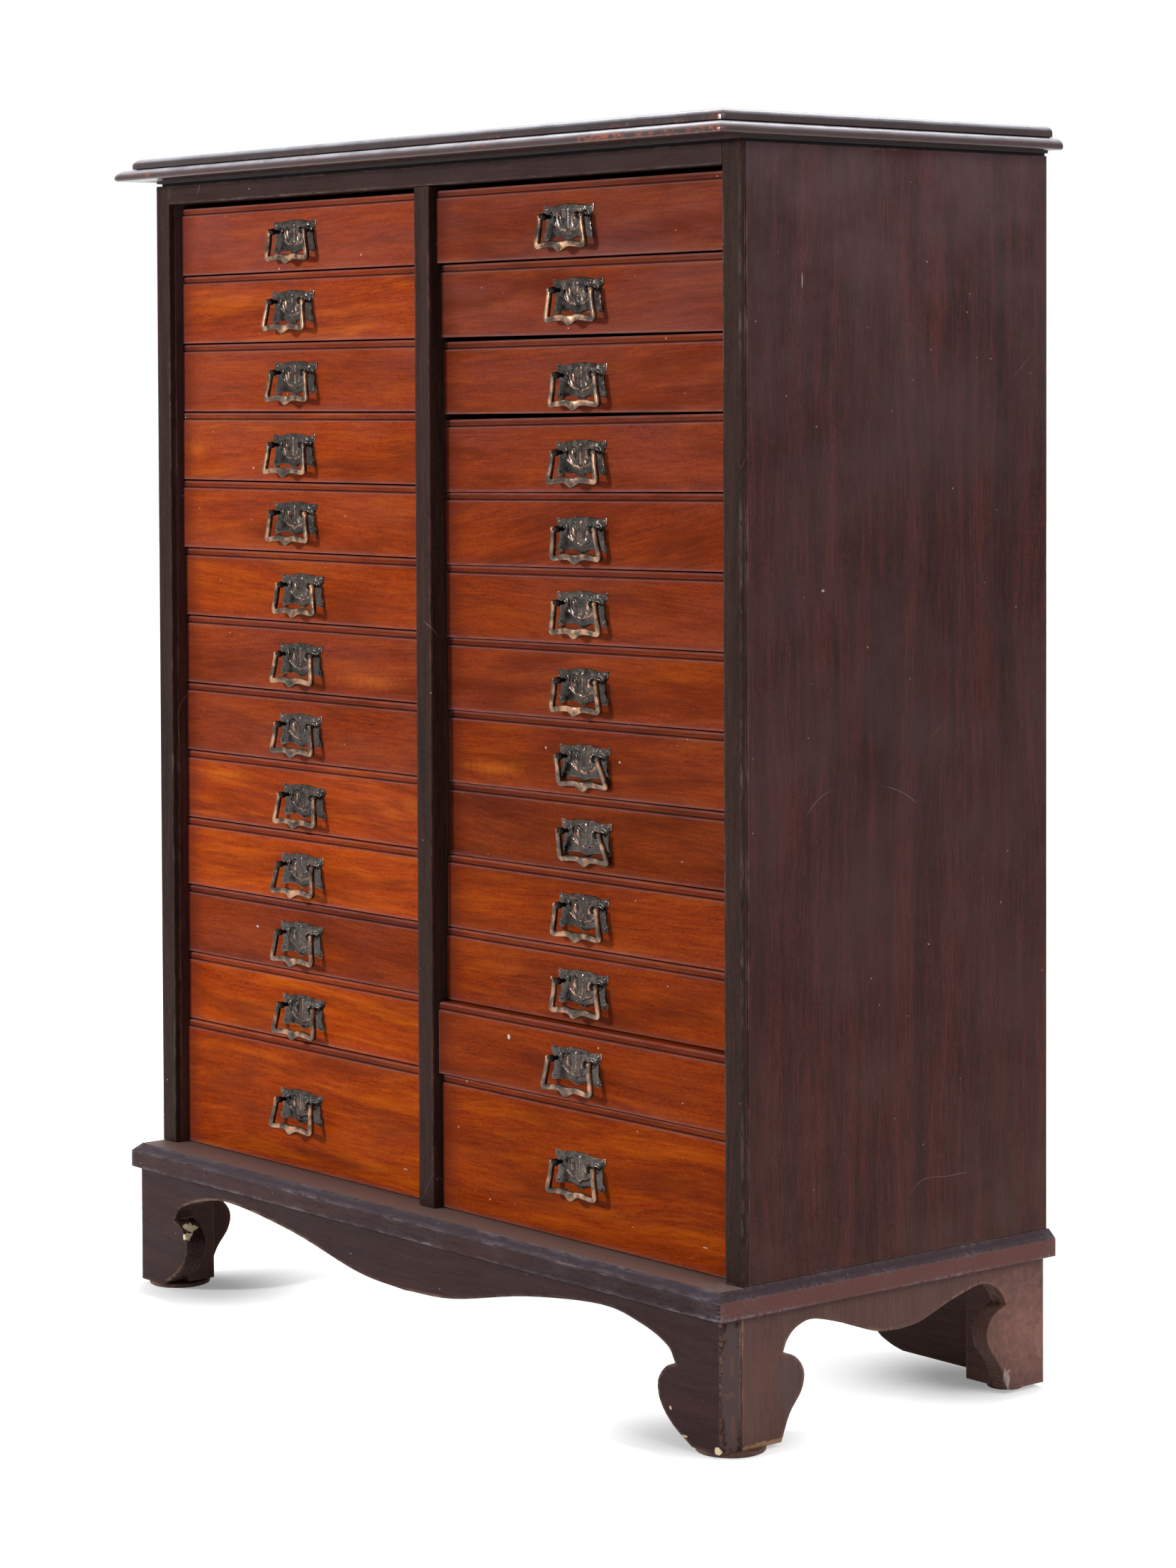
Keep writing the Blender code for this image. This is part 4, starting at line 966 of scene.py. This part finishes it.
def plate_relief(x, z):
    """How far the stamped plate stands out of its flat, in millimetres, and how rubbed it is."""
    across = np.abs(x)
    # The scalloped leaf over the lower edge, with its ridge
    lower = z - (-12.4 + 0.30 * across + 0.0075 * x ** 2
                 + 0.9 * np.sin(across / 2.6) * (across < 17))
    heart = (smooth_step(lower, 0, 1.6) * smooth_step(27.0 - across, 0, 3.0)
             * smooth_step(15.5 - z, 0, 4))
    relief = 0.9 * heart + 0.35 * smooth_step(z, 9, 15) * smooth_step(30 - across, 0, 12)
    ridge = np.exp(-((lower - 1.3) / 0.75) ** 2) * (across < 24)
    relief += 0.55 * ridge
    rubbed = 0.75 * ridge * smooth_step(24 - across, 0, 10)
    # Two lobes, each in a groove, with two lines round them
    for place in (-10.7, 10.7):
        side = np.sign(place)
        inward = np.where(side * (x - place) > 0, 3.8, 2.8)
        reach = np.hypot((x - place - 0.12 * side * (z - 3)) / inward, (z - 3.4) / 5.8)
        relief += (1.6 * np.sqrt(np.clip(1 - reach ** 2, 0, 1))
                   - 0.4 * np.exp(-((reach - 1.25) / 0.18) ** 2))
        rubbed += 0.9 * (1 - smooth_step(reach, 0.35, 0.95))
        for turn in (1.8, 2.5):
            line = np.exp(-((reach - turn) / 0.14) ** 2)
            relief += 0.28 * line * heart
            rubbed += 0.22 * line * heart
    # The rib up the middle
    rib = ((1 - smooth_step(across, 0.4, 1.1)) * smooth_step(z, -5, -3)
           * (1 - smooth_step(z, 13, 16)))
    relief += 0.6 * rib
    rubbed += 0.45 * rib
    # Two beads on the middle line and the heads of the four pins
    for place, up, size in ((0, -5.4, 1.0), (0, -11.4, 1.2), (-33.6, -12.8, 1.5),
                            (33.6, -12.8, 1.5), (-34.0, 13.2, 1.4), (34.0, 13.2, 1.4)):
        dome = np.sqrt(np.clip(1 - (np.hypot(x - place, z - up) / size) ** 2, 0, 1))
        relief += 1.0 * dome
        rubbed += 0.5 * (dome > 0.6)
    # The swellings under the posts
    for place in (-POST_SPACING / 2, POST_SPACING / 2):
        relief += 1.9 * (1 - smooth_step(np.hypot(x - place, z - POST_RISE), 2.6, 5.8))
    return relief, np.clip(rubbed, 0, 1)


def points_inside(outline, spacing, margin):
    """Points of an even grid inside an outline, clear of it by a margin."""
    corners = np.array(outline)
    following = np.roll(corners, -1, axis=0)
    span = following - corners
    rise = np.where(np.abs(span[:, 1]) < 1e-9, 1e-9, span[:, 1])
    columns, rows = (np.arange(np.floor(low / spacing), high / spacing) * spacing
                     for low, high in zip(corners.min(0), corners.max(0)))
    inside = []
    for z in rows:
        for x in columns:
            share = (x - corners[:, 0]) * span[:, 0] + (z - corners[:, 1]) * span[:, 1]
            share = np.clip(share / (span ** 2).sum(1), 0, 1)
            reach = np.hypot(corners[:, 0] + share * span[:, 0] - x,
                             corners[:, 1] + share * span[:, 1] - z)
            crossing = (corners[:, 1] > z) != (following[:, 1] > z)
            beyond = x < corners[:, 0] + (z - corners[:, 1]) * span[:, 0] / rise
            if (crossing & beyond).sum() % 2 == 1 and reach.min() > margin:
                inside.append((x, z))
    return inside


def plate_mesh(name):
    """The stamped plate with its two ball posts, about the plate's middle on the front's face."""
    right = smooth_curve(PLATE_OUTLINE, 4)
    outline = right + [(-x, z) for x, z in right[-2:0:-1]]
    loop = list(range(len(outline)))
    given = [Vector(point) for point in outline + points_inside(outline, RELIEF_GRID, 0.55)]
    found, _, faces, origins, _, _ = delaunay_2d_cdt(given, [], [loop], 1, 1e-4)
    flat = np.array([tuple(point) for point in found])
    relief, rubbed = plate_relief(flat[:, 0], flat[:, 1])
    on_rim = np.array([any(index < len(outline) for index in origin) for origin in origins])
    # Beyond the ear tips, left and right, the rim and skirt are fully worn: a painted highlight
    # along the ears' edges; the rest of the rim is lightly rubbed
    rim_drop, highlit_ear_tips = -0.35, 36.5
    relief = np.where(on_rim, rim_drop, relief)
    rubbed = np.where(on_rim, np.where(np.abs(flat[:, 0]) > highlit_ear_tips, 1.0, 0.4), rubbed)
    shape = Shape(MM)
    shape.ring([(x, -PLATE_THICKNESS - up, z) for (x, z), up in zip(flat, relief)],
               rubbed.tolist())
    shape.faces += [tuple(face) for face in faces]
    order = {origin: index for index, many in enumerate(origins) for origin in many}
    skirt = shape.ring([(x, 0.15, z) for x, z in outline],
                       [1.0 if abs(x) > highlit_ear_tips else 0.2 for x, _ in outline])
    shape.join([[order[index] for index in loop], skirt], caps=False)
    shape.faces.append(tuple(skirt))
    # Along a post: how far out, radius, wear and sheen, and dirt and shade
    stations = [(1.6, 2.9, 0.3, 0.2), (4.4, 2.2, 0.1, 0.8), (8.6, 2.1, 0, 1)]
    for angle in map(radians, (-52, -30, -8, 14, 36, 58, 76)):
        stations.append((BALL_PROUD + BALL_RADIUS * sin(angle), BALL_RADIUS * cos(angle), 0, 1))
    for place in (-POST_SPACING / 2, POST_SPACING / 2):
        shape.join([shape.ring([(place + radius * cos(turn), -reach,
                                 POST_RISE + radius * sin(turn)) for turn in turns(20)],
                               wear, dirt) for reach, radius, wear, dirt in stations])
    return shape.mesh(name, 50)


def bail_mesh(name):
    """The swinging handle about its pivot: knuckles, legs, and a bar with a pointed drop."""
    rows = smooth_curve(BAIL_PATH, 3)
    rows += [(-across, *others) for across, *others in rows[-2::-1]]
    shape, rings = Shape(MM), []
    for index, (across, forward, up, half_wide, half_deep) in enumerate(rows):
        before, after = rows[max(0, index - 1)], rows[min(len(rows) - 1, index + 1)]
        way = Vector((after[0] - before[0], 0, after[2] - before[2])).normalized()
        ring, worn = [], []
        for turn in turns(16):
            side, depth = (copysign(abs(share) ** SQUARENESS, share)
                           for share in (cos(turn), sin(turn)))
            ring.append((across + way.z * half_wide * side, -forward - half_deep * depth,
                         up - way.x * half_wide * side))
            worn.append(0.45 + 0.55 * max(0.0, depth))
        rings.append(shape.ring(ring, worn))
    shape.join(rings)
    for side in (-1, 1):
        shape.join([shape.ring([(side * across, radius * cos(turn), radius * sin(turn))
                                for turn in turns(16)], 1.0 if radius > 2.6 else 0.3)
                    for across, radius in KNUCKLE])
    return shape.mesh(name, 50)


# The object

def build_carcass():
    """Top, sides, divider, rail, back and base board."""
    side_tones = ((14, 4, 4), (48, 20, 18), (84, 42, 36), (104, 48, 37))
    stile_tones = ((24, 14, 12), (46, 31, 27), (62, 43, 37), (70, 47, 40))
    base_tones = ((24, 13, 13), (48, 29, 29), (64, 40, 40), (80, 46, 42))
    haze = (0.15, 1.22, (88, 63, 57), (76, 50, 48), (72, 52, 52), (72, 54, 56), (96, 76, 80))
    rail_haze = (1.20, 1.23, (60, 46, 44), (56, 44, 46))
    side_wood = dark_wood("side_board_wood", 3.0, "Z", side_tones, (108, 84, 80), 0.5, haze,
                          SCRATCHES)
    facing_wood = dark_wood("facing_strip_wood", 5.0, "Z", stile_tones, (104, 86, 80), 0.3,
                            gloss=0.04)
    rail_wood = dark_wood("rail_wood", 7.0, "X", stile_tones, (120, 96, 92), 0.4, rail_haze,
                          gloss=0.04)
    divider_wood = dark_wood("divider_wood", 9.0, "Z", stile_tones, (96, 62, 54), gloss=0.04)
    # The base board's bluish-grey worn tone is a painted sheen on its arrises, with wear; its tones
    # by facing are painted light on the right side, a painted sheen on the chamfer, and dust on top
    base_wood = dark_wood("base_board_wood", 11.0, "X", base_tones, (138, 132, 140), 0.5,
                          gloss=0.08,
                          painted_light_and_dust_tones=((126, 82, 75), (64, 55, 61), (128, 104, 95)))

    piece("top", "carcass", top_mesh(), ebonised("ebonised_top_wood"),
          ["top_board"])
    piece("base", "carcass", base_mesh(), base_wood, ["base_board"])
    seam = FRONT_Y + FACING_DEPTH
    for name, sign in SIDES:
        inner, outer = sorted((sign * (HALF_WIDTH - SIDE_THICKNESS), sign * HALF_WIDTH))
        board = bar((inner, seam + JOINT_GAP / 2, CARCASS_BOTTOM), (outer, BACK_Y, CARCASS_TOP))
        strip = bar((inner, FRONT_Y, CARCASS_BOTTOM), (outer, seam - JOINT_GAP / 2, CARCASS_TOP))
        boards(f"side_{name}", side_wood, [board], [f"{name}_side"])
        boards(f"facing_{name}", facing_wood, [strip], arris=FACING_ARRIS)
    half = DIVIDER_THICKNESS / 2
    rear = BACK_PANEL_Y - SEAT_GAP
    notch_y, notch_z = RAIL_BACK_Y + SEAT_GAP, RAIL_BOTTOM - SEAT_GAP
    outline = ((FRONT_Y, CARCASS_BOTTOM), (rear, CARCASS_BOTTOM), (rear, CARCASS_TOP),
               (notch_y, CARCASS_TOP), (notch_y, notch_z), (FRONT_Y, notch_z))
    boards("divider", divider_wood, [(outline, "X", -half, half)], ["centre_divider"],
           DIVIDER_ARRIS)
    reach = HALF_WIDTH - SIDE_THICKNESS - SEAT_GAP
    rail = bar((-reach, FRONT_Y, RAIL_BOTTOM), (reach, RAIL_BACK_Y, CARCASS_TOP))
    boards("rail", rail_wood, [rail], ["top_rail"], RAIL_ARRIS)
    back = frame["nodes"]["back_panel"]
    back.data.materials.clear()
    back.data.materials.append(back_wood())


def build_runners(places):
    """The runners on the walls of both banks, each level with its end of the drawer."""
    tones = ((40, 26, 20), (70, 48, 36), (92, 64, 48), (104, 72, 54))
    wood = dark_wood("runner_wood", 13.0, "Y", tones, (120, 90, 70))
    # They stand inwards off the sides, and outwards off the divider
    for prefix, wall, way in (("", HALF_WIDTH - SIDE_THICKNESS, -1),
                              ("divider_", DIVIDER_THICKNESS / 2, 1)):
        for column, sign in SIDES:
            start, stop = sorted(sign * (wall + way * off)
                                 for off in (RUNNER_STANDOFF, RUNNER_WIDTH))
            end = Vector((-way * sign * FRONT_WIDTH / 2, 0, 0))
            bars = []
            for row in range(DRAWER_ROWS):
                top = (places[column, row][0] @ end).z + RUNNER_TOP
                bars.append(bar((start, RUNNER_START, top - RUNNER_HEIGHT),
                                (stop, BACK_PANEL_Y - SEAT_GAP, top)))
            boards(f"runners_{prefix}{column}", wood, bars, arris=RUNNER_ARRIS,
                   margin=RUNNER_MARGIN)


def build_plinth():
    """Shaped boards with a block in each corner, on pads."""
    front_tones = ((26, 13, 13), (46, 27, 27), (58, 37, 37), (74, 44, 38))
    side_tones = ((58, 36, 33), (90, 63, 58), (110, 80, 74), (124, 78, 66))
    haze = (0.01, 0.13, (106, 78, 72), (94, 70, 66))
    worn = (150, 118, 100)
    front_wood = dark_wood("apron_wood", 17.0, "X", front_tones, worn, 0.5, None, APRON_MARKS,
                           0.08)
    side_wood = dark_wood("plinth_side_wood", 19.0, "Z", side_tones, worn, 0.5, haze,
                          PLINTH_SIDE_MARKS)
    inner_wood = dark_wood("plinth_inner_wood", 23.0, "X", side_tones, (130, 104, 86))
    apron_back = PLINTH_FRONT + APRON_THICKNESS
    rear_front = PLINTH_REAR - PLINTH_BACK_THICKNESS
    inner = PLINTH_OUTER - PLINTH_SIDE_THICKNESS
    outline = apron_outline(PLINTH_OUTER, FRONT_BRACKET_WIDTH, FRONT_CUSP, FRONT_BRACKET,
                            FRONT_ARCH)
    boards("apron", front_wood, [(outline, "Y", PLINTH_FRONT, apron_back - JOINT_GAP)],
           ["plinth"], PLINTH_ARRIS, PLINTH_MARGIN)
    half, middle = (PLINTH_REAR - apron_back) / 2, (PLINTH_REAR + apron_back) / 2
    elevation = apron_outline(half, SIDE_BRACKET_WIDTH, SIDE_CUSP, SIDE_BRACKET, SIDE_ARCH)
    outline = [(middle + along, up) for along, up in elevation]
    for name, sign in SIDES:
        start, end = sorted((sign * inner, sign * PLINTH_OUTER))
        boards(f"plinth_side_{name}", side_wood, [(outline, "X", start, end)],
               arris=PLINTH_ARRIS, margin=PLINTH_MARGIN)
    low, high = PAD_HEIGHT + PLINTH_BACK_INSET, PLINTH_TOP - PLINTH_BACK_INSET
    reach = inner - SEAT_GAP
    right = smooth_curve([(reach - REAR_BRACKET_WIDTH * across, low + (high - low) * up)
                          for across, up in REAR_BRACKET], 5)
    outline = [(reach, high), (reach, low), *right, *[(-x, z) for x, z in right[::-1]],
               (-reach, low), (-reach, high)]
    boards("plinth_back", inner_wood, [(outline, "Y", rear_front, PLINTH_REAR - SEAT_GAP)],
           arris=PLINTH_BACK_ARRIS, margin=PLINTH_MARGIN)
    blocks = []
    for sign in (-1, 1):
        start, end = sorted((sign * (inner - BLOCK_SIZE), sign * (inner - SEAT_GAP)))
        for near, far in ((apron_back, apron_back + BLOCK_SIZE),
                          (rear_front - BLOCK_SIZE, rear_front - SEAT_GAP)):
            blocks.append(bar((start, near, PAD_HEIGHT + BLOCK_INSET),
                              (end, far, PLINTH_TOP - BLOCK_INSET)))
    boards("plinth_blocks", inner_wood, blocks)
    pad_brown = pad_material()
    for side, sign in SIDES:
        for end, (radius, inward, from_side), edge, way in (
                ("front", FRONT_PAD, PLINTH_FRONT, 1), ("rear", REAR_PAD, PLINTH_REAR, -1)):
            name = f"pad_{end}_{side}"
            mesh = foot_pad(name, sign * (PLINTH_OUTER - from_side), edge + way * inward, radius)
            piece(name, "carcass", mesh, pad_brown)


def drawer_places():
    """Where each drawer is and how high its front, and its bail's pivot, tilt and lean."""
    joints = {joint["name"]: joint for joint in frame["record"]["behaviour"]["joints"]}
    places = {}
    for column, sign in SIDES:
        for row in range(DRAWER_ROWS):
            number = f"{row + 1:02d}"
            low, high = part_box(f"drawer_left_{number}")
            height = high.z - low.z
            swing = joints[f"swing_{column}_{number}"]
            pivot, axis = Vector(swing["pos_m"]), -Vector(swing["axis"])
            tilt = Matrix.Rotation(atan2(-axis.z, axis.x), 4, "Y")
            right_end = Vector((FRONT_WIDTH / 2, 0, height / 2))
            corner = Vector((sign * COLUMN_X, pivot.y + BALL_PROUD * MM, low.z))
            matrix = Matrix.Translation(corner + right_end - tilt.to_3x3() @ right_end) @ tilt
            lean = PLUMB_STOP - min(swing["range_deg"])
            places[column, row] = (matrix, height, pivot, tilt, lean)
    return places


def build_drawers(places):
    """Fronts, boxes, plates and bails of both banks."""
    metal = bronze("bronze_plate", (46, 42, 39), (200, 146, 118), 0.38, 0.24, 0.7, 0.3)
    bail_metal = bronze("bronze_bail", (78, 63, 52), (170, 128, 98), 0.45, 0.30, 0.45, 0.15)
    plate, ring = plate_mesh("plate"), bail_mesh("bail")
    inside = box_wood()
    boxes = {}
    for column, table, seed in (("left", LEFT_WOOD, 1.0), ("right", RIGHT_WOOD, 23.0)):
        for row, looks in enumerate(table):
            label = f"{column}_{row + 1:02d}"
            body = f"drawer_{label}"
            matrix, height, pivot, tilt, lean = places[column, row]
            wood = mahogany(f"mahogany_{label}", row * 1.9 + seed, MARKS.get(label, ()), height,
                            *looks)
            rounded = WORN_CORNER_ROUND if label in WORN_CORNERS else CORNER_ROUND
            piece(f"front_{label}", body,
                  front_mesh(f"front_{label}", height, rounded), wood, [body], matrix)
            size = round(height, 4)
            if size not in boxes:
                boxes[size] = drawer_box_mesh(f"box_{size}", height)
            piece(f"box_{label}", body, boxes[size], inside, (), matrix)
            offset = matrix.inverted() @ pivot
            centre = Matrix.Translation((offset.x, 0, offset.z - POST_RISE * MM))
            piece(f"plate_{label}", body, plate, metal, (), matrix @ centre)
            hang = Matrix.Translation(pivot) @ tilt @ Matrix.Rotation(-radians(lean), 4, "X")
            piece(f"ring_{label}", f"bail_{label}", ring, bail_metal,
                  [f"bail_{label}"], hang)


# Floor, light and camera

def build_floor():
    """A pale floor whose glow is painted light and shade: dim by the feet as a painted shadow, and
    white elsewhere, over the shadow.
    """
    mesh = bpy.data.meshes.new("floor")
    corners = [(x * FLOOR_HALF, y * FLOOR_HALF, 0) for x, y in ((-1, -1), (1, -1), (1, 1), (-1, 1))]
    mesh.from_pydata(corners, [], [(0, 1, 2, 3)])
    floor = new_object("floor", mesh)
    finish = Finish("floor_white", Roughness=0.9, Specular_IOR_Level=0.1,
                    Base_Color=(0.75, 0.75, 0.75, 1), Emission_Color=(1, 1, 1, 1))
    dim, full = FLOOR_GLOW
    folded = finish.add("VectorMath", {0: finish.coordinates()}, operation="ABSOLUTE")
    away = finish.add("VectorMath", {0: folded, 1: FEET}, "Value", operation="DISTANCE")
    # Painted shadow: the glow dims about each foot
    glow = finish.step(away, *FEET_REACH, dim, full)
    for axis, edge in FEET_EDGES:
        outside = finish.step(finish.part(folded, axis), edge, edge + EDGE_FADE, 0.0, full)
        glow = finish.math("MAXIMUM", glow, outside)
    seen = finish.ray_is("Is Camera Ray", "Is Glossy Ray")
    finish.give("Emission Strength", finish.times(seen, glow))
    mesh.materials.append(finish.material)


def build_world():
    """Even soft light, and white for the rays that see the background."""
    world = bpy.data.worlds.new("studio")
    bpy.context.scene.world = world
    world.use_nodes = True
    nodes = Nodes(world.node_tree)
    background = nodes.tree.nodes["Background"]
    background.inputs["Color"].default_value = (1, 1, 1, 1)
    seen = nodes.ray_is("Is Camera Ray", "Is Glossy Ray", "Is Transmission Ray")
    strength = nodes.add("MapRange", {0: seen, 3: WORLD_STRENGTH, 4: 1.0})
    nodes.set(background.inputs["Strength"], strength)


def add_lamp(name, place, target, size, watts):
    """A soft square lamp aimed at a point."""
    lamp = new_object(name, bpy.data.lights.new(name, "AREA"))
    lamp.data.size = size
    lamp.data.energy = watts
    lamp.location = place
    lamp.rotation_euler = (Vector(target) - Vector(place)).to_track_quat("-Z", "Y").to_euler()


def build_camera():
    """The camera at the photograph's place."""
    camera = new_object("camera", bpy.data.cameras.new("camera"))
    forward = Vector((-sin(YAW) * cos(PITCH), cos(YAW) * cos(PITCH), sin(PITCH)))
    level = Vector((cos(YAW), sin(YAW), 0))
    rise = level.cross(forward)
    right = level * cos(ROLL) + rise * sin(ROLL)
    up = rise * cos(ROLL) - level * sin(ROLL)
    turn = Matrix((right, up, -forward)).transposed()
    camera.matrix_world = Matrix.Translation(CAMERA_PLACE) @ turn.to_4x4()
    camera.data.sensor_width = SENSOR_WIDTH
    camera.data.lens = SENSOR_WIDTH * FOCAL_PIXELS / IMAGE_HEIGHT
    camera.data.shift_x = (IMAGE_WIDTH / 2 - CENTRE_X) / IMAGE_HEIGHT
    camera.data.shift_y = -(IMAGE_HEIGHT / 2 - CENTRE_Y) / IMAGE_HEIGHT
    camera.data.clip_end = 100
    bpy.context.scene.camera = camera


build_camera()
build_floor()
build_world()
for lamp_name, lamp_values in LAMPS.items():
    add_lamp(lamp_name, *lamp_values)
build_carcass()
drawers = drawer_places()
build_runners(drawers)
build_plinth()
build_drawers(drawers)
bpy.context.scene.view_settings.view_transform = "Standard"
